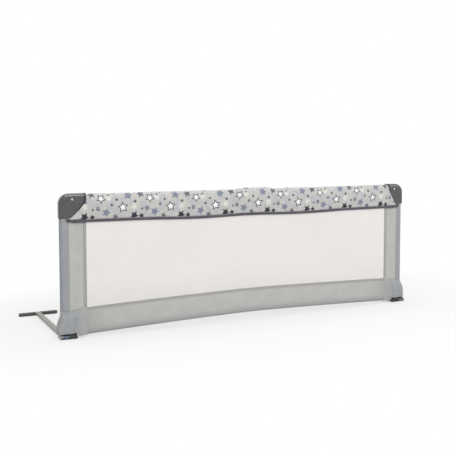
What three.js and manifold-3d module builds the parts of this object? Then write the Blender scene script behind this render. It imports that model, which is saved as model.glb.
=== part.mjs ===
// Folding bed guard rail: a tube frame that carries a netting window between a padded top cover and a
// cloth bottom band, and that folds forwards and down on two floor legs.
// Millimetres. X runs along the rail, +Y points from the rail to the bed, and +Z is up.
// The origin lies on the floor under the middle of the whole rail. The tube plane is the plane of the
// frame's tubes, and a side piece is drawn from its upright's axis, with +X towards the rail's middle.
import * as THREE from "three";
import { mergeVertices } from "three/addons/utils/BufferGeometryUtils.js";
import Module from "manifold-3d";

const wasm = await Module();
wasm.setup();

// Driving sizes of the whole rail
const LENGTH = 1300; // over the sleeves of the two uprights
const HEIGHT = 452; // floor to the top of the corner brackets
const LEG_REACH = 345; // tube plane to the middle of a leg's crossbar

// Gaps, cloth and facets that many pieces share
const FIT = 0.3; // between two pieces that touch
const OVERRUN = 5; // how far a cutting shape runs past what it cuts
const CLOTH = 0.7; // one layer of woven polyester
const SEAM = 1.2; // two layers sewn together
const ROUND = 20; // facets round a tube
const SMALL_ROUND = 14; // facets round a pin or a button
const CURVE = 8; // facets along a curve of an outline
const DOME = 4; // facets from the rim of a small dome to its middle

// Steel tubes of the frame
const TUBE = { radius: 11, wall: 1.2 };
const RAIL = { radius: 8, wall: 1, rise: 6, level: 5, steps: 14 };
const tubeBore = TUBE.radius + FIT;
const railBore = RAIL.radius + FIT;

// Moulded corner bracket: its arm lies along the top tube, its foot along the upright
const BRACKET = {
  wall: 3.7, // outside the upright, in the tube plane
  topWall: 7.5, // above the top tube
  cheek: 3.9, // in front of and behind the tubes
  arm: 82,
  foot: 76,
  armEnd: 22, // height of the arm at its end
  footEnd: 34, // width of the foot at its end
  corner: 33,
  edge: 3, // rounded front and rear edges
  edgeSteps: 2,
  round: 10, // of the outer side and the top, which follow the tubes
  roundSteps: 4,
  cornerSteps: 7,
  bendShares: [0.805, 0.316], // where the inner edge bends, along the arm and up the foot
  tubeEnd: 6, // upright's axis to the end of the top tube
};
const bracketOuter = tubeBore + BRACKET.wall;
const bracketHalf = tubeBore + BRACKET.cheek;
const bracketBottomZ = HEIGHT - BRACKET.foot;
const topAxisZ = HEIGHT - BRACKET.topWall - tubeBore;
const uprightTopZ = topAxisZ - tubeBore - BRACKET.wall;

// Sprung button that locks the top tube in a bracket
const SNAP = { radius: 3.5, proud: 1.2, dome: 1, flange: 1.2, flangeRadius: 4.6, fromEnd: 20.5 };
const snapAt = BRACKET.tubeEnd + SNAP.fromEnd;

// Plastic sleeve that joins the two halves of the top tube
const JOINER = { wall: 3.7, length: 90, offset: 20, stop: 3, stopBore: 9 };
const joinerRadius = tubeBore + JOINER.wall;

// Cloth round the uprights, and the strips beside the netting
const SLEEVE = { width: 26.4 }; // outer side to its seam
const STRIP = { width: 45, thick: 0.9 };
const HEM = { width: 10.5, thick: 1.8 };
const NET = { thick: 0.6, steps: 28 };
const sleeveRadius = tubeBore + CLOTH;
const sleeveSeam = SLEEVE.width - sleeveRadius;
const stripInner = sleeveSeam + STRIP.width;
const hemInner = stripInner + HEM.width;
const uprightX = LENGTH / 2 - sleeveRadius;
const windowHalf = uprightX - hemInner;

// Padded cover of the top tube, and the piping along its lower edge
const COVER = {
  padding: 4.2,
  drop: 83.7, // top of the brackets to the cover's lower edge, at the middle
  endLift: 2, // rise of the lower edge towards the ends
  sag: 3.6, // of the lower edge, either side of the joiner
  sagSpan: 400,
  flap: 3.4, // thickness of the part that hangs over the netting
  flapOverlap: 6,
  rearFoot: 6, // depth of the sewn foot behind the flap
  crown: 1,
  ripple: 0.6,
  rippleLength: 73,
  humpRun: 34, // over which the hump of the joiner dies away
  slope: 0.45, // radians below level at which the rear leaves the tube
  steps: 40,
  cornerSteps: 3,
  arcSteps: 10,
  frontSteps: 5,
};
const PIPING = { radius: 3.6, steps: 48, corner: 6, cornerSteps: 4, sides: 7 };
const coverRadius = tubeBore + COVER.padding;
const humpHeight = joinerRadius + FIT - tubeBore;
const coverStart = sleeveSeam + FIT;
const pipingFront = sleeveRadius + FIT + PIPING.radius * 2;

// Cloth band round the bottom rail; its heights are those at the rail's middle
const BAND = {
  topZ: 106.3,
  bottomZ: 20.3,
  topDrop: 12.3, // at its ends
  bottomDrop: 14, // at its ends
  bowPowerShare: 1.45,
  seam: 8, // sewn height along the top
  round: 10.8, // radius of the lower fold
  crown: 1.6,
  steps: 26,
  arcSteps: 7,
  wallSteps: 4,
  full: 2, // height above the rail's axis up to which its rear stands off
  frontLipShare: 0.25, // of one layer, in front of the hollow at the seam
  rearLipShare: 0.5,
};

// Hinge between the guard and a leg; its axis runs along X in front of all that folds
const HINGE = {
  pin: 2.2,
  knuckleWall: 4,
  floorGap: 1,
  lead: 1, // axis in front of the foremost cloth
  blockRadius: 6.9,
  swing: 7.9, // radius that the fixed parts keep within
  swingGap: 0.6, // from there up to the folding parts
  sideGap: 1, // between knuckles
};
const LUG = { outer: 9, inner: 6, thick: 3.5, height: 36 }; // outer and inner from the upright's axis
const HOUSING = {
  outer: 17.5,
  inner: 35,
  height: 42,
  shoulder: 28, // height at which the sides start to draw in
  neck: 13.5,
  arm: 27, // height of the arm that holds the bottom rail
  toe: 5,
  front: 2.5,
  rear: 4.7,
  floor: 4.5,
  socketWall: 1.2,
  edge: 3,
  edgeSteps: 2,
};
const SCREW = { radius: 2, head: 3.6, headDepth: 2.2, heightShares: [0.36, 0.75] };
const POCKET = {
  bulge: 10,
  bulgeShares: [0.3, 0.9], // of its height, between which the bulge dies away
  fullShare: 0.62, // of its height, up to which it stands off the housing
  cavityShares: [-0.15, 0.66],
  topZ: 94,
  cornerPowerShare: 0.45, // below 1 makes its outer corners squarer
  steps: 11,
  arcSteps: 10,
};
const knuckleRadius = HINGE.pin + FIT + HINGE.knuckleWall;
const housingFront = tubeBore + LUG.thick + FIT + HOUSING.front;
const housingRear = tubeBore + HOUSING.rear;
const pocketFront = housingFront + FIT + SEAM;
const pocketRear = housingRear + FIT + SEAM;
const pivotY = -Math.max(pocketFront, pipingFront, coverRadius + humpHeight) - HINGE.lead;
const pivotZ = HINGE.floorGap + knuckleRadius;
const guardBottomZ = pivotZ + HINGE.swing + HINGE.swingGap;
const railZ = guardBottomZ + HOUSING.arm / 2;
const uprightBottomZ = guardBottomZ + HOUSING.floor;
const screwHeights = SCREW.heightShares.map((share) => guardBottomZ + HOUSING.height * share);

// Fixed hinge base of a leg
const BASE = {
  ear: 6.5, // width of the outer knuckle
  block: 29, // width of the inner block with the release button
  frontGap: 1, // behind the lug
  rear: 22,
  wall: 2,
  floor: 1.7,
  corner: 3,
  edge: 1,
  pinGrip: 4, // length of the pin in the inner block
};
const BUTTON = {
  width: 19,
  height: 7,
  depth: 6.5, // so that its rear stays in front of the pocket when it is pressed
  face: 6.2, // pivot to its flat face
  rib: 0.8,
  ribs: 5,
  ribShare: 0.5, // of the rib spacing that is rib
  fromBlock: 6, // inner block's outer side to the button
  guide: 17.5, // depth of its guide, from the flat face
};
const SPRING = { wire: 0.4, radius: 2.4, turns: 4, stepsPerTurn: 8, sides: 5 };
const blockStart = LUG.inner + HINGE.sideGap;
const blockEnd = blockStart + BASE.block;
const earEnd = -LUG.outer - HINGE.sideGap;
const earStart = earEnd - BASE.ear;
const baseTopZ = pivotZ + knuckleRadius;
const baseFront = -tubeBore + BASE.frontGap;
const buttonStart = blockStart + BUTTON.fromBlock;
const buttonFace = pivotY - BUTTON.face;

// Leg: a flat tube with a crossbar at its far end
const ARM = {
  width: 18,
  height: 10,
  wall: 1.2,
  corner: 2.6,
  cornerSteps: 3,
  offset: -4, // from the upright's axis, at the tube plane
  splayShare: 0.0536, // of its length, outwards
  flat: 4, // thickness of the flattened end
  flatLength: 16,
  taper: 14,
};
const CROSSBAR = {
  length: 134,
  offset: -21, // from the upright's axis
  width: 18,
  height: 10,
  edge: 1.5,
  edgeSteps: 2,
  endSteps: 8,
  lip: 2.7, // behind the end of the arm
  proud: 0.3, // of the arm's flat end, above the crossbar
};
const RIVET = { radius: 2, head: 3.8, dome: 1.2, fromSocket: 12, base: 1.5 };
const armBottomZ = BASE.floor + FIT;
const armTopZ = armBottomZ + ARM.height;
const armFlatTopZ = CROSSBAR.height + CROSSBAR.proud;
const armFlatBottomZ = armFlatTopZ - ARM.flat;
const armStartY = baseFront + BASE.wall + FIT;
const rivetY = armStartY + RIVET.fromSocket;
const armEndY = LEG_REACH + CROSSBAR.width / 2 - CROSSBAR.lip - FIT;
const armLine = (y) => ARM.offset - ARM.splayShare * y;

// Materials
const finish = (color, roughness, metalness = 0) =>
  new THREE.MeshStandardMaterial({ color, roughness, metalness });
const bracketPlastic = finish(0x5e5e5f, 0.45);
const blackPlastic = finish(0x222325, 0.35);
const crossbarPlastic = finish(0x52524f, 0.6);
const framePaint = finish(0xa6a7a5, 0.4, 0.3);
const legPaint = finish(0xa3a39c, 0.42, 0.3);
const zincPlate = finish(0x9aa4ab, 0.3, 0.9);
const printedCloth = finish(0xc6c5c1, 0.85);
const pipingCloth = finish(0x56525a, 0.8);
const sleeveCloth = finish(0x9ea1a5, 0.85);
const stripCloth = finish(0xb9bab5, 0.85);
const hemCloth = finish(0xaaaaa8, 0.85);
const bandCloth = finish(0xb4b4b0, 0.85);
const nettingCloth = finish(0xe6e2df, 0.8);

// Geometry helpers

// Numbers from one value to another in equal steps, both ends included.
const spaced = (from, to, steps) =>
  Array.from({ length: steps + 1 }, (_, i) => from + ((to - from) * i) / steps);
const smooth = (from, to, value) => THREE.MathUtils.smoothstep(value, from, to);
const mix = THREE.MathUtils.lerp;

// A closed geometry as a solid that can be joined and cut.
function solid(geometry) {
  const bare = geometry.clone();
  bare.deleteAttribute("normal");
  bare.deleteAttribute("uv");
  const merged = mergeVertices(bare);
  const vertProperties = new Float32Array(merged.attributes.position.array);
  const triVerts = new Uint32Array(merged.index.array);
  return new wasm.Manifold(new wasm.Mesh({ numProp: 3, vertProperties, triVerts }));
}

// A joined or cut solid as a geometry again.
function geometryOf(body) {
  const { vertProperties, triVerts } = body.getMesh();
  const geometry = new THREE.BufferGeometry();
  geometry.setAttribute("position", new THREE.BufferAttribute(new Float32Array(vertProperties), 3));
  geometry.setIndex(new THREE.BufferAttribute(new Uint32Array(triVerts), 1));
  return geometry;
}

const join = (...parts) => geometryOf(parts.map(solid).reduce((all, part) => all.add(part)));
const cut = (body, tools) =>
  geometryOf(tools.map(solid).reduce((all, tool) => all.subtract(tool), solid(body)));
const common = (a, b) => geometryOf(solid(a).intersect(solid(b)));

// The same form on the other side of the plane X = 0.
function mirrored(geometry) {
  const other = geometry.index ? geometry.toNonIndexed() : geometry.clone();
  other.scale(-1, 1, 1);
  const places = other.attributes.position.array;
  for (let i = 0; i < places.length; i += 9) {
    const second = places.slice(i + 3, i + 6);
    places.copyWithin(i + 3, i + 6, i + 9);
    places.set(second, i + 6);
  }
  return other;
}

// A box between two corners.
function box(x0, x1, y0, y1, z0, z1) {
  const geometry = new THREE.BoxGeometry(x1 - x0, y1 - y0, z1 - z0);
  return geometry.translate((x0 + x1) / 2, (y0 + y1) / 2, (z0 + z1) / 2);
}

// A round bar along one axis between two places on it, centred at u and v on the other two.
function bar(axis, radius, from, to, u, v, sides = ROUND) {
  const geometry = new THREE.CylinderGeometry(radius, radius, to - from, sides);
  const middle = (from + to) / 2;
  if (axis === "x") return geometry.rotateZ(-Math.PI / 2).translate(middle, u, v);
  if (axis === "y") return geometry.translate(u, middle, v);
  return geometry.rotateX(Math.PI / 2).translate(u, v, middle);
}

// An outline in X and Z given depth in Y, with its front and rear edges rounded.
function plate(outline, y0, y1, { edge = 0, edgeSteps = 1, curveSteps = CURVE } = {}) {
  const geometry = new THREE.ExtrudeGeometry(outline, {
    depth: y1 - y0 - edge * 2,
    steps: 1,
    curveSegments: curveSteps,
    bevelEnabled: edge > 0,
    bevelThickness: edge,
    bevelSize: edge,
    bevelOffset: -edge,
    bevelSegments: edgeSteps,
  });
  return geometry.rotateX(Math.PI / 2).translate(0, y1 - edge, 0);
}

// An outline in X and Y given height in Z, with its lower and upper edges rounded.
function slab(outline, z0, z1, look) {
  return plate(outline, z0, z1, look).rotateX(-Math.PI / 2).translate(0, 0, z0 + z1);
}

// A turned form about an axis along Y, or along Z when it stands; its outline is radius and place.
function turned(outline, x, across, standing = false, sides = SMALL_ROUND) {
  const geometry = new THREE.LatheGeometry(outline.map(([r, p]) => new THREE.Vector2(r, p)), sides);
  if (standing) return geometry.rotateX(Math.PI / 2).translate(x, across, 0);
  return geometry.translate(x, 0, across);
}

// A geometry of triangles, turned over if they face inwards.
function facingOut(points, faces) {
  const at = (i) => new THREE.Vector3(...points[i]);
  const volume = faces.reduce((sum, [a, b, c]) => sum + at(a).dot(at(b).cross(at(c))), 0);
  const outwards = volume < 0 ? faces.map(([a, b, c]) => [a, c, b]) : faces;
  const geometry = new THREE.BufferGeometry();
  geometry.setAttribute("position", new THREE.BufferAttribute(new Float32Array(points.flat()), 3));
  return geometry.setIndex(outwards.flat());
}

// Two triangles for each side between neighbouring rings of points.
function bands(rings, around, first, inwards = false) {
  const faces = [];
  for (let i = 0; i + 1 < rings; i++) {
    for (let j = 0; j < around; j++) {
      const a = first + i * around + j;
      const b = first + i * around + ((j + 1) % around);
      const [p, q] = inwards ? [b, a] : [a, b];
      faces.push([p, q, p + around], [q, q + around, p + around]);
    }
  }
  return faces;
}

// A closed form through rings of points, with a fan of triangles at each end.
function loft(rings) {
  const around = rings[0].length;
  const points = rings.flat();
  const faces = bands(rings.length, around, 0);
  for (const end of [0, rings.length - 1]) {
    points.push(rings[end].reduce((sum, p) => sum.map((v, k) => v + p[k] / around), [0, 0, 0]));
    for (let j = 0; j < around; j++) {
      const a = end * around + j;
      const b = end * around + ((j + 1) % around);
      faces.push(end === 0 ? [b, a, points.length - 1] : [a, b, points.length - 1]);
    }
  }
  return facingOut(points, faces);
}

// A tube of cloth or metal, open at both ends, between outer and inner rings of points.
function shell(outer, inner) {
  const around = outer[0].length;
  const count = outer.length * around;
  const faces = [...bands(outer.length, around, 0), ...bands(outer.length, around, count, true)];
  for (const end of [0, outer.length - 1]) {
    for (let j = 0; j < around; j++) {
      const a = end * around + j;
      const b = end * around + ((j + 1) % around);
      const [p, q] = end === 0 ? [b, a] : [a, b];
      faces.push([p, q, p + count], [q, q + count, p + count]);
    }
  }
  return facingOut([...outer.flat(), ...inner.flat()], faces);
}

// A round cord along a path in a plane of constant Y.
function cordInPlane(path, y, radius, sides) {
  const rings = path.map(([x, z], i) => {
    const before = path[Math.max(i - 1, 0)];
    const after = path[Math.min(i + 1, path.length - 1)];
    const along = new THREE.Vector2(after[0] - before[0], after[1] - before[1]).normalize();
    return spaced(0, Math.PI * 2, sides)
      .slice(1)
      .map((turn) => {
        const out = radius * Math.cos(turn);
        return [x - along.y * out, y + radius * Math.sin(turn), z + along.x * out];
      });
  });
  return loft(rings);
}

// A rectangle with rounded corners in X and Z, as a ring of points at one Y.
function roundedRing(x, width, z0, z1, corner, steps, y) {
  const centres = [
    [x + width / 2 - corner, z1 - corner, 0],
    [x - width / 2 + corner, z1 - corner, Math.PI / 2],
    [x - width / 2 + corner, z0 + corner, Math.PI],
    [x + width / 2 - corner, z0 + corner, Math.PI * 1.5],
  ];
  return centres.flatMap(([cx, cz, start]) =>
    spaced(start, start + Math.PI / 2, steps).map((turn) => [
      cx + corner * Math.cos(turn),
      y,
      cz + corner * Math.sin(turn),
    ]),
  );
}

// Rectangle with rounded corners as an outline.
function roundedOutline(x0, x1, y0, y1, corner) {
  const outline = new THREE.Shape();
  outline.absarc(x1 - corner, y1 - corner, corner, 0, Math.PI / 2);
  outline.absarc(x0 + corner, y1 - corner, corner, Math.PI / 2, Math.PI);
  outline.absarc(x0 + corner, y0 + corner, corner, Math.PI, Math.PI * 1.5);
  outline.absarc(x1 - corner, y0 + corner, corner, Math.PI * 1.5, Math.PI * 2);
  return outline;
}

// Steel tubes

const hollow = (axis, radius, wall, from, to, u, v) =>
  cut(bar(axis, radius, from, to, u, v), [bar(axis, radius - wall, from - OVERRUN, to + OVERRUN, u, v)]);

// One half of the top tube, from its end in a bracket to the stop in the joiner.
function topTube(side) {
  const outer = side * (uprightX - BRACKET.tubeEnd);
  const inner = JOINER.offset + side * (JOINER.stop / 2 + FIT);
  const [from, to] = side < 0 ? [outer, inner] : [inner, outer];
  const snapX = side * (uprightX - snapAt);
  const hole = bar("y", SNAP.radius + FIT, -TUBE.radius - OVERRUN, 0, snapX, topAxisZ, SMALL_ROUND);
  return cut(hollow("x", TUBE.radius, TUBE.wall, from, to, 0, topAxisZ), [hole]);
}

function tubeJoiner() {
  const from = JOINER.offset - JOINER.length / 2;
  const to = JOINER.offset + JOINER.length / 2;
  return cut(bar("x", joinerRadius, from, to, 0, topAxisZ), [
    bar("x", JOINER.stopBore, from - OVERRUN, to + OVERRUN, 0, topAxisZ),
    bar("x", tubeBore, from - OVERRUN, JOINER.offset - JOINER.stop / 2, 0, topAxisZ),
    bar("x", tubeBore, JOINER.offset + JOINER.stop / 2, to + OVERRUN, 0, topAxisZ),
  ]);
}

// The bottom rail bows up between the housings and runs level into them.
const railSocket = tubeBore + HOUSING.socketWall; // upright's axis to the rail's end
const railLevelX = uprightX - HOUSING.inner - RAIL.level;
const railHeight = (x) =>
  railZ + RAIL.rise * Math.cos((Math.min(Math.abs(x) / railLevelX, 1) * Math.PI) / 2) ** 2;

function bottomRail() {
  const end = uprightX - railSocket - FIT;
  const places = [-end, ...spaced(-railLevelX, railLevelX, RAIL.steps), end];
  const rings = (radius) =>
    places.map((x) =>
      spaced(0, Math.PI * 2, ROUND)
        .slice(1)
        .map((turn) => [x, radius * Math.cos(turn), railHeight(x) + radius * Math.sin(turn)]),
    );
  return shell(rings(RAIL.radius), rings(RAIL.radius - RAIL.wall));
}

function upright() {
  const tube = hollow("z", TUBE.radius, TUBE.wall, uprightBottomZ + FIT, uprightTopZ - FIT, 0, 0);
  const reach = TUBE.radius + OVERRUN;
  return cut(
    tube,
    screwHeights.map((z) => bar("y", SCREW.radius + FIT, -reach, reach, 0, z, SMALL_ROUND)),
  );
}

// Corner bracket and its sprung button

const outerCorner = (outline, top) => {
  const { corner } = BRACKET;
  outline.absarc(corner - bracketOuter, top - corner, corner, Math.PI, Math.PI / 2, true);
};

// The bracket's outline; a cutting tool of the same form stands out above it.
function bracketOutline(above = 0) {
  const outer = -bracketOuter;
  const top = HEIGHT + above;
  const [bendX, bendZ] = BRACKET.bendShares;
  const outline = new THREE.Shape();
  outline.moveTo(outer, bracketBottomZ);
  outline.lineTo(outer, top - BRACKET.corner);
  outerCorner(outline, top);
  outline.lineTo(outer + BRACKET.arm, top);
  outline.lineTo(outer + BRACKET.arm, HEIGHT - BRACKET.armEnd);
  outline.quadraticCurveTo(
    outer + BRACKET.arm * bendX,
    bracketBottomZ + BRACKET.foot * bendZ,
    outer + BRACKET.footEnd,
    bracketBottomZ,
  );
  return outline;
}

// Two plates in common: one has the bracket's outline, the other its rounded outer side and top.
function cornerBracket() {
  const { edge, edgeSteps, round, roundSteps, cornerSteps: curveSteps } = BRACKET;
  const low = bracketBottomZ - round;
  const inner = BRACKET.arm + round;
  const hull = new THREE.Shape();
  hull.moveTo(-bracketOuter, low);
  hull.lineTo(-bracketOuter, HEIGHT - BRACKET.corner);
  outerCorner(hull, HEIGHT);
  hull.lineTo(inner, HEIGHT);
  hull.lineTo(inner, low);
  const body = common(
    plate(bracketOutline(), -bracketHalf, bracketHalf, { edge, edgeSteps, curveSteps }),
    plate(hull, -bracketHalf, bracketHalf, { edge: round, edgeSteps: roundSteps, curveSteps }),
  );
  return cut(body, [
    bar("z", tubeBore, bracketBottomZ - OVERRUN, uprightTopZ, 0, 0),
    bar("x", tubeBore, BRACKET.tubeEnd - FIT, BRACKET.arm + OVERRUN, 0, topAxisZ),
    bar("y", SNAP.radius + FIT, -bracketHalf - OVERRUN, 0, snapAt, topAxisZ, SMALL_ROUND),
  ]);
}

// The button's flange bears on the inside of the top tube.
function snapButton() {
  const front = -bracketHalf - SNAP.proud;
  const seat = -Math.sqrt((TUBE.radius - TUBE.wall) ** 2 - SNAP.flangeRadius ** 2) + FIT * 2;
  const dome = spaced(0, Math.PI / 2, DOME).map((turn) => [
    SNAP.radius * Math.sin(turn),
    front + SNAP.dome * (1 - Math.cos(turn)),
  ]);
  const flange = [
    [SNAP.radius, seat],
    [SNAP.flangeRadius, seat],
    [SNAP.flangeRadius, seat + SNAP.flange],
    [0, seat + SNAP.flange],
  ];
  return turned([...dome, ...flange], snapAt, topAxisZ);
}

// Hinge lug and the housing that clamps it to the upright and the bottom rail

function hingeLug() {
  const plateTop = guardBottomZ + LUG.height;
  const body = join(
    bar("x", knuckleRadius, -LUG.outer, LUG.inner, pivotY, pivotZ),
    box(-LUG.outer, LUG.inner, pivotY, -tubeBore, pivotZ, pivotZ + knuckleRadius),
    box(-LUG.outer, LUG.inner, -tubeBore - LUG.thick, -tubeBore, pivotZ, plateTop),
  );
  const holes = screwHeights.map((z) =>
    bar("y", SCREW.radius + FIT, -housingFront, 0, 0, z, SMALL_ROUND),
  );
  const pinBore = bar("x", HINGE.pin + FIT, -LUG.outer - OVERRUN, LUG.inner + OVERRUN, pivotY, pivotZ);
  return cut(body, [pinBore, ...holes]);
}

function housingOutline() {
  const bottom = guardBottomZ;
  const outline = new THREE.Shape();
  outline.moveTo(-HOUSING.outer + HOUSING.toe, bottom);
  outline.lineTo(-HOUSING.outer, bottom + HOUSING.toe);
  outline.lineTo(-HOUSING.outer, bottom + HOUSING.shoulder);
  outline.lineTo(-HOUSING.neck, bottom + HOUSING.height);
  outline.lineTo(HOUSING.neck, bottom + HOUSING.height);
  outline.lineTo(HOUSING.neck + HOUSING.toe, bottom + HOUSING.arm + HOUSING.toe);
  outline.lineTo(HOUSING.inner - HOUSING.toe, bottom + HOUSING.arm);
  outline.lineTo(HOUSING.inner, bottom + HOUSING.arm - HOUSING.toe);
  outline.lineTo(HOUSING.inner, bottom);
  return outline;
}

// The two shells of the housing meet in the tube plane.
function housingShell(front) {
  const { edge, edgeSteps } = HOUSING;
  const lugFront = -tubeBore - LUG.thick - FIT;
  const lugTopZ = guardBottomZ + LUG.height + FIT;
  const headFront = housingRear - SCREW.headDepth - FIT;
  const block = cut(plate(housingOutline(), -housingFront, housingRear, { edge, edgeSteps }), [
    bar("z", tubeBore, uprightBottomZ, guardBottomZ + HOUSING.height + OVERRUN, 0, 0),
    bar("x", railBore, railSocket, HOUSING.inner + OVERRUN, 0, railZ),
    box(-LUG.outer - FIT, LUG.inner + FIT, lugFront, 0, guardBottomZ - OVERRUN, lugTopZ),
    ...screwHeights.flatMap((z) => [
      bar("y", SCREW.radius + FIT, lugFront, housingRear, 0, z, SMALL_ROUND),
      bar("y", SCREW.head + FIT, headFront, housingRear + OVERRUN, 0, z, SMALL_ROUND),
    ]),
  ]);
  const [from, to] = front ? [-housingFront - OVERRUN, -FIT / 2] : [FIT / 2, housingRear + OVERRUN];
  const reach = HOUSING.outer + HOUSING.inner;
  return common(block, box(-reach, reach, from, to, 0, guardBottomZ + HOUSING.height + OVERRUN));
}

function housingScrew(z) {
  const headFront = housingRear - SCREW.headDepth;
  const tip = -tubeBore - LUG.thick;
  const outline = [
    [0, tip],
    [SCREW.radius, tip],
    [SCREW.radius, headFront],
    [SCREW.head, headFront],
    [SCREW.head, housingRear],
    [0, housingRear],
  ];
  return turned(outline, 0, z);
}

// Hinge base, its pin and its release button

// Room for the arm between two places along it.
function armSlot(y0, y1, z0, z1) {
  const half = ARM.width / 2 + FIT;
  const ring = (y) => [
    [armLine(y) - half, y, z0],
    [armLine(y) + half, y, z0],
    [armLine(y) + half, y, z1],
    [armLine(y) - half, y, z1],
  ];
  return loft([ring(y0), ring(y1)]);
}

function hingeBase() {
  const outline = roundedOutline(earStart, blockEnd, baseFront, BASE.rear, BASE.corner);
  const rearBody = slab(outline, 0, baseTopZ, { edge: BASE.edge });
  const web = baseFront + BASE.corner;
  const body = join(
    rearBody,
    bar("x", knuckleRadius, earStart, earEnd, pivotY, pivotZ),
    box(earStart, earEnd, pivotY, web, HINGE.floorGap, baseTopZ),
    bar("x", HINGE.blockRadius, blockStart, blockEnd, pivotY, pivotZ),
    box(blockStart, blockEnd, pivotY, web, pivotZ - HINGE.blockRadius, baseTopZ),
  );
  const halfHeight = BUTTON.height / 2 + FIT;
  const hole = RIVET.radius + FIT;
  return cut(body, [
    bar("x", HINGE.pin + FIT, earStart - OVERRUN, blockStart + BASE.pinGrip, pivotY, pivotZ),
    box(
      buttonStart - FIT,
      buttonStart + BUTTON.width + FIT,
      buttonFace - OVERRUN,
      buttonFace + BUTTON.guide,
      pivotZ - halfHeight,
      pivotZ + halfHeight,
    ),
    armSlot(baseFront + BASE.wall, BASE.rear + OVERRUN, BASE.floor, armTopZ + FIT),
    bar("z", hole, armTopZ, baseTopZ + OVERRUN, armLine(rivetY), rivetY, SMALL_ROUND),
  ]);
}

const hingePin = () =>
  bar("x", HINGE.pin, earStart, blockStart + BASE.pinGrip - FIT, pivotY, pivotZ, SMALL_ROUND);

function releaseButton() {
  const pitch = BUTTON.width / BUTTON.ribs;
  const half = BUTTON.height / 2;
  const face = box(
    buttonStart,
    buttonStart + BUTTON.width,
    buttonFace,
    buttonFace + BUTTON.depth,
    pivotZ - half,
    pivotZ + half,
  );
  const ribs = Array.from({ length: BUTTON.ribs }, (_, i) => {
    const middle = buttonStart + pitch * (i + 1 / 2);
    const reach = (pitch * BUTTON.ribShare) / 2;
    const rear = buttonFace + BUTTON.rib;
    return box(middle - reach, middle + reach, buttonFace - BUTTON.rib, rear, pivotZ - half, pivotZ + half);
  });
  return join(face, ...ribs);
}

// Coil spring behind the release button, along Y.
function releaseSpring() {
  const from = buttonFace + BUTTON.depth + FIT + SPRING.wire;
  const to = buttonFace + BUTTON.guide - FIT - SPRING.wire;
  const x = buttonStart + BUTTON.width / 2;
  const steps = SPRING.turns * SPRING.stepsPerTurn;
  const rings = spaced(0, 1, steps).map((share) => {
    const turn = share * SPRING.turns * Math.PI * 2;
    return spaced(0, Math.PI * 2, SPRING.sides)
      .slice(1)
      .map((around) => {
        const reach = SPRING.radius + SPRING.wire * Math.cos(around);
        const y = mix(from, to, share) + SPRING.wire * Math.sin(around);
        return [x + reach * Math.cos(turn), y, pivotZ + reach * Math.sin(turn)];
      });
  });
  return loft(rings);
}

// Leg arm, crossbar and rivets

function legArm() {
  const flatStart = armEndY - ARM.flatLength;
  const taperStart = flatStart - ARM.taper;
  const ring = (y, z0, z1, corner) =>
    roundedRing(armLine(y), ARM.width, z0, z1, corner, ARM.cornerSteps, y);
  const flatCorner = (ARM.corner * ARM.flat) / ARM.height;
  const outer = loft([
    ring(armStartY, armBottomZ, armTopZ, ARM.corner),
    ring(taperStart, armBottomZ, armTopZ, ARM.corner),
    ring(flatStart, armFlatBottomZ, armFlatTopZ, flatCorner),
    ring(armEndY, armFlatBottomZ, armFlatTopZ, flatCorner),
  ]);
  const bore = [armStartY - OVERRUN, taperStart - ARM.wall].map((y) =>
    roundedRing(
      armLine(y),
      ARM.width - ARM.wall * 2,
      armBottomZ + ARM.wall,
      armTopZ - ARM.wall,
      ARM.corner - ARM.wall,
      ARM.cornerSteps,
      y,
    ),
  );
  const hole = RIVET.radius + FIT;
  return cut(outer, [
    loft(bore),
    bar("z", hole, armBottomZ + ARM.wall / 2, armTopZ + OVERRUN, armLine(rivetY), rivetY, SMALL_ROUND),
    bar("z", hole, 0, armFlatTopZ + OVERRUN, armLine(LEG_REACH), LEG_REACH, SMALL_ROUND),
  ]);
}

function legCrossbar() {
  const end = CROSSBAR.width / 2;
  const reach = CROSSBAR.length / 2 - end;
  const outline = new THREE.Shape();
  outline.absarc(CROSSBAR.offset + reach, LEG_REACH, end, -Math.PI / 2, Math.PI / 2);
  outline.absarc(CROSSBAR.offset - reach, LEG_REACH, end, Math.PI / 2, Math.PI * 1.5);
  const { edge, edgeSteps, endSteps: curveSteps } = CROSSBAR;
  const hole = RIVET.radius + FIT;
  return cut(slab(outline, 0, CROSSBAR.height, { edge, edgeSteps, curveSteps }), [
    armSlot(LEG_REACH - end - OVERRUN, armEndY + FIT, armFlatBottomZ - FIT, CROSSBAR.height + OVERRUN),
    bar("z", hole, RIVET.base, CROSSBAR.height, armLine(LEG_REACH), LEG_REACH, SMALL_ROUND),
  ]);
}

function rivet(y, bottomZ, seatZ) {
  const dome = spaced(0, Math.PI / 2, DOME).map((turn) => [
    RIVET.head * Math.cos(turn),
    seatZ + RIVET.dome * Math.sin(turn),
  ]);
  dome[dome.length - 1][0] = 0;
  const shank = [[0, bottomZ], [RIVET.radius, bottomZ], [RIVET.radius, seatZ]];
  return turned([...shank, ...dome], armLine(y), y, true);
}

// Padded cover and piping

const lowerEdge = (x) => {
  const lift = COVER.endLift * (x / windowHalf) ** 2;
  const sag = COVER.sag * Math.sin(Math.PI * Math.min(Math.abs(x) / COVER.sagSpan, 1)) ** 2;
  return HEIGHT - COVER.drop + lift - sag;
};
const coverFoot = (x) => lowerEdge(x) + COVER.flapOverlap;

// The cover's lower corners are rounded to fit inside the bend of the piping.
const coverEnd = uprightX - coverStart;
const coverCorner = PIPING.corner - PIPING.radius - FIT;
const cornerLift = (x) => {
  const past = Math.max(Math.abs(x) - (coverEnd - coverCorner), 0);
  return coverCorner - Math.sqrt(Math.max(coverCorner ** 2 - past ** 2, 0));
};

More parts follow.
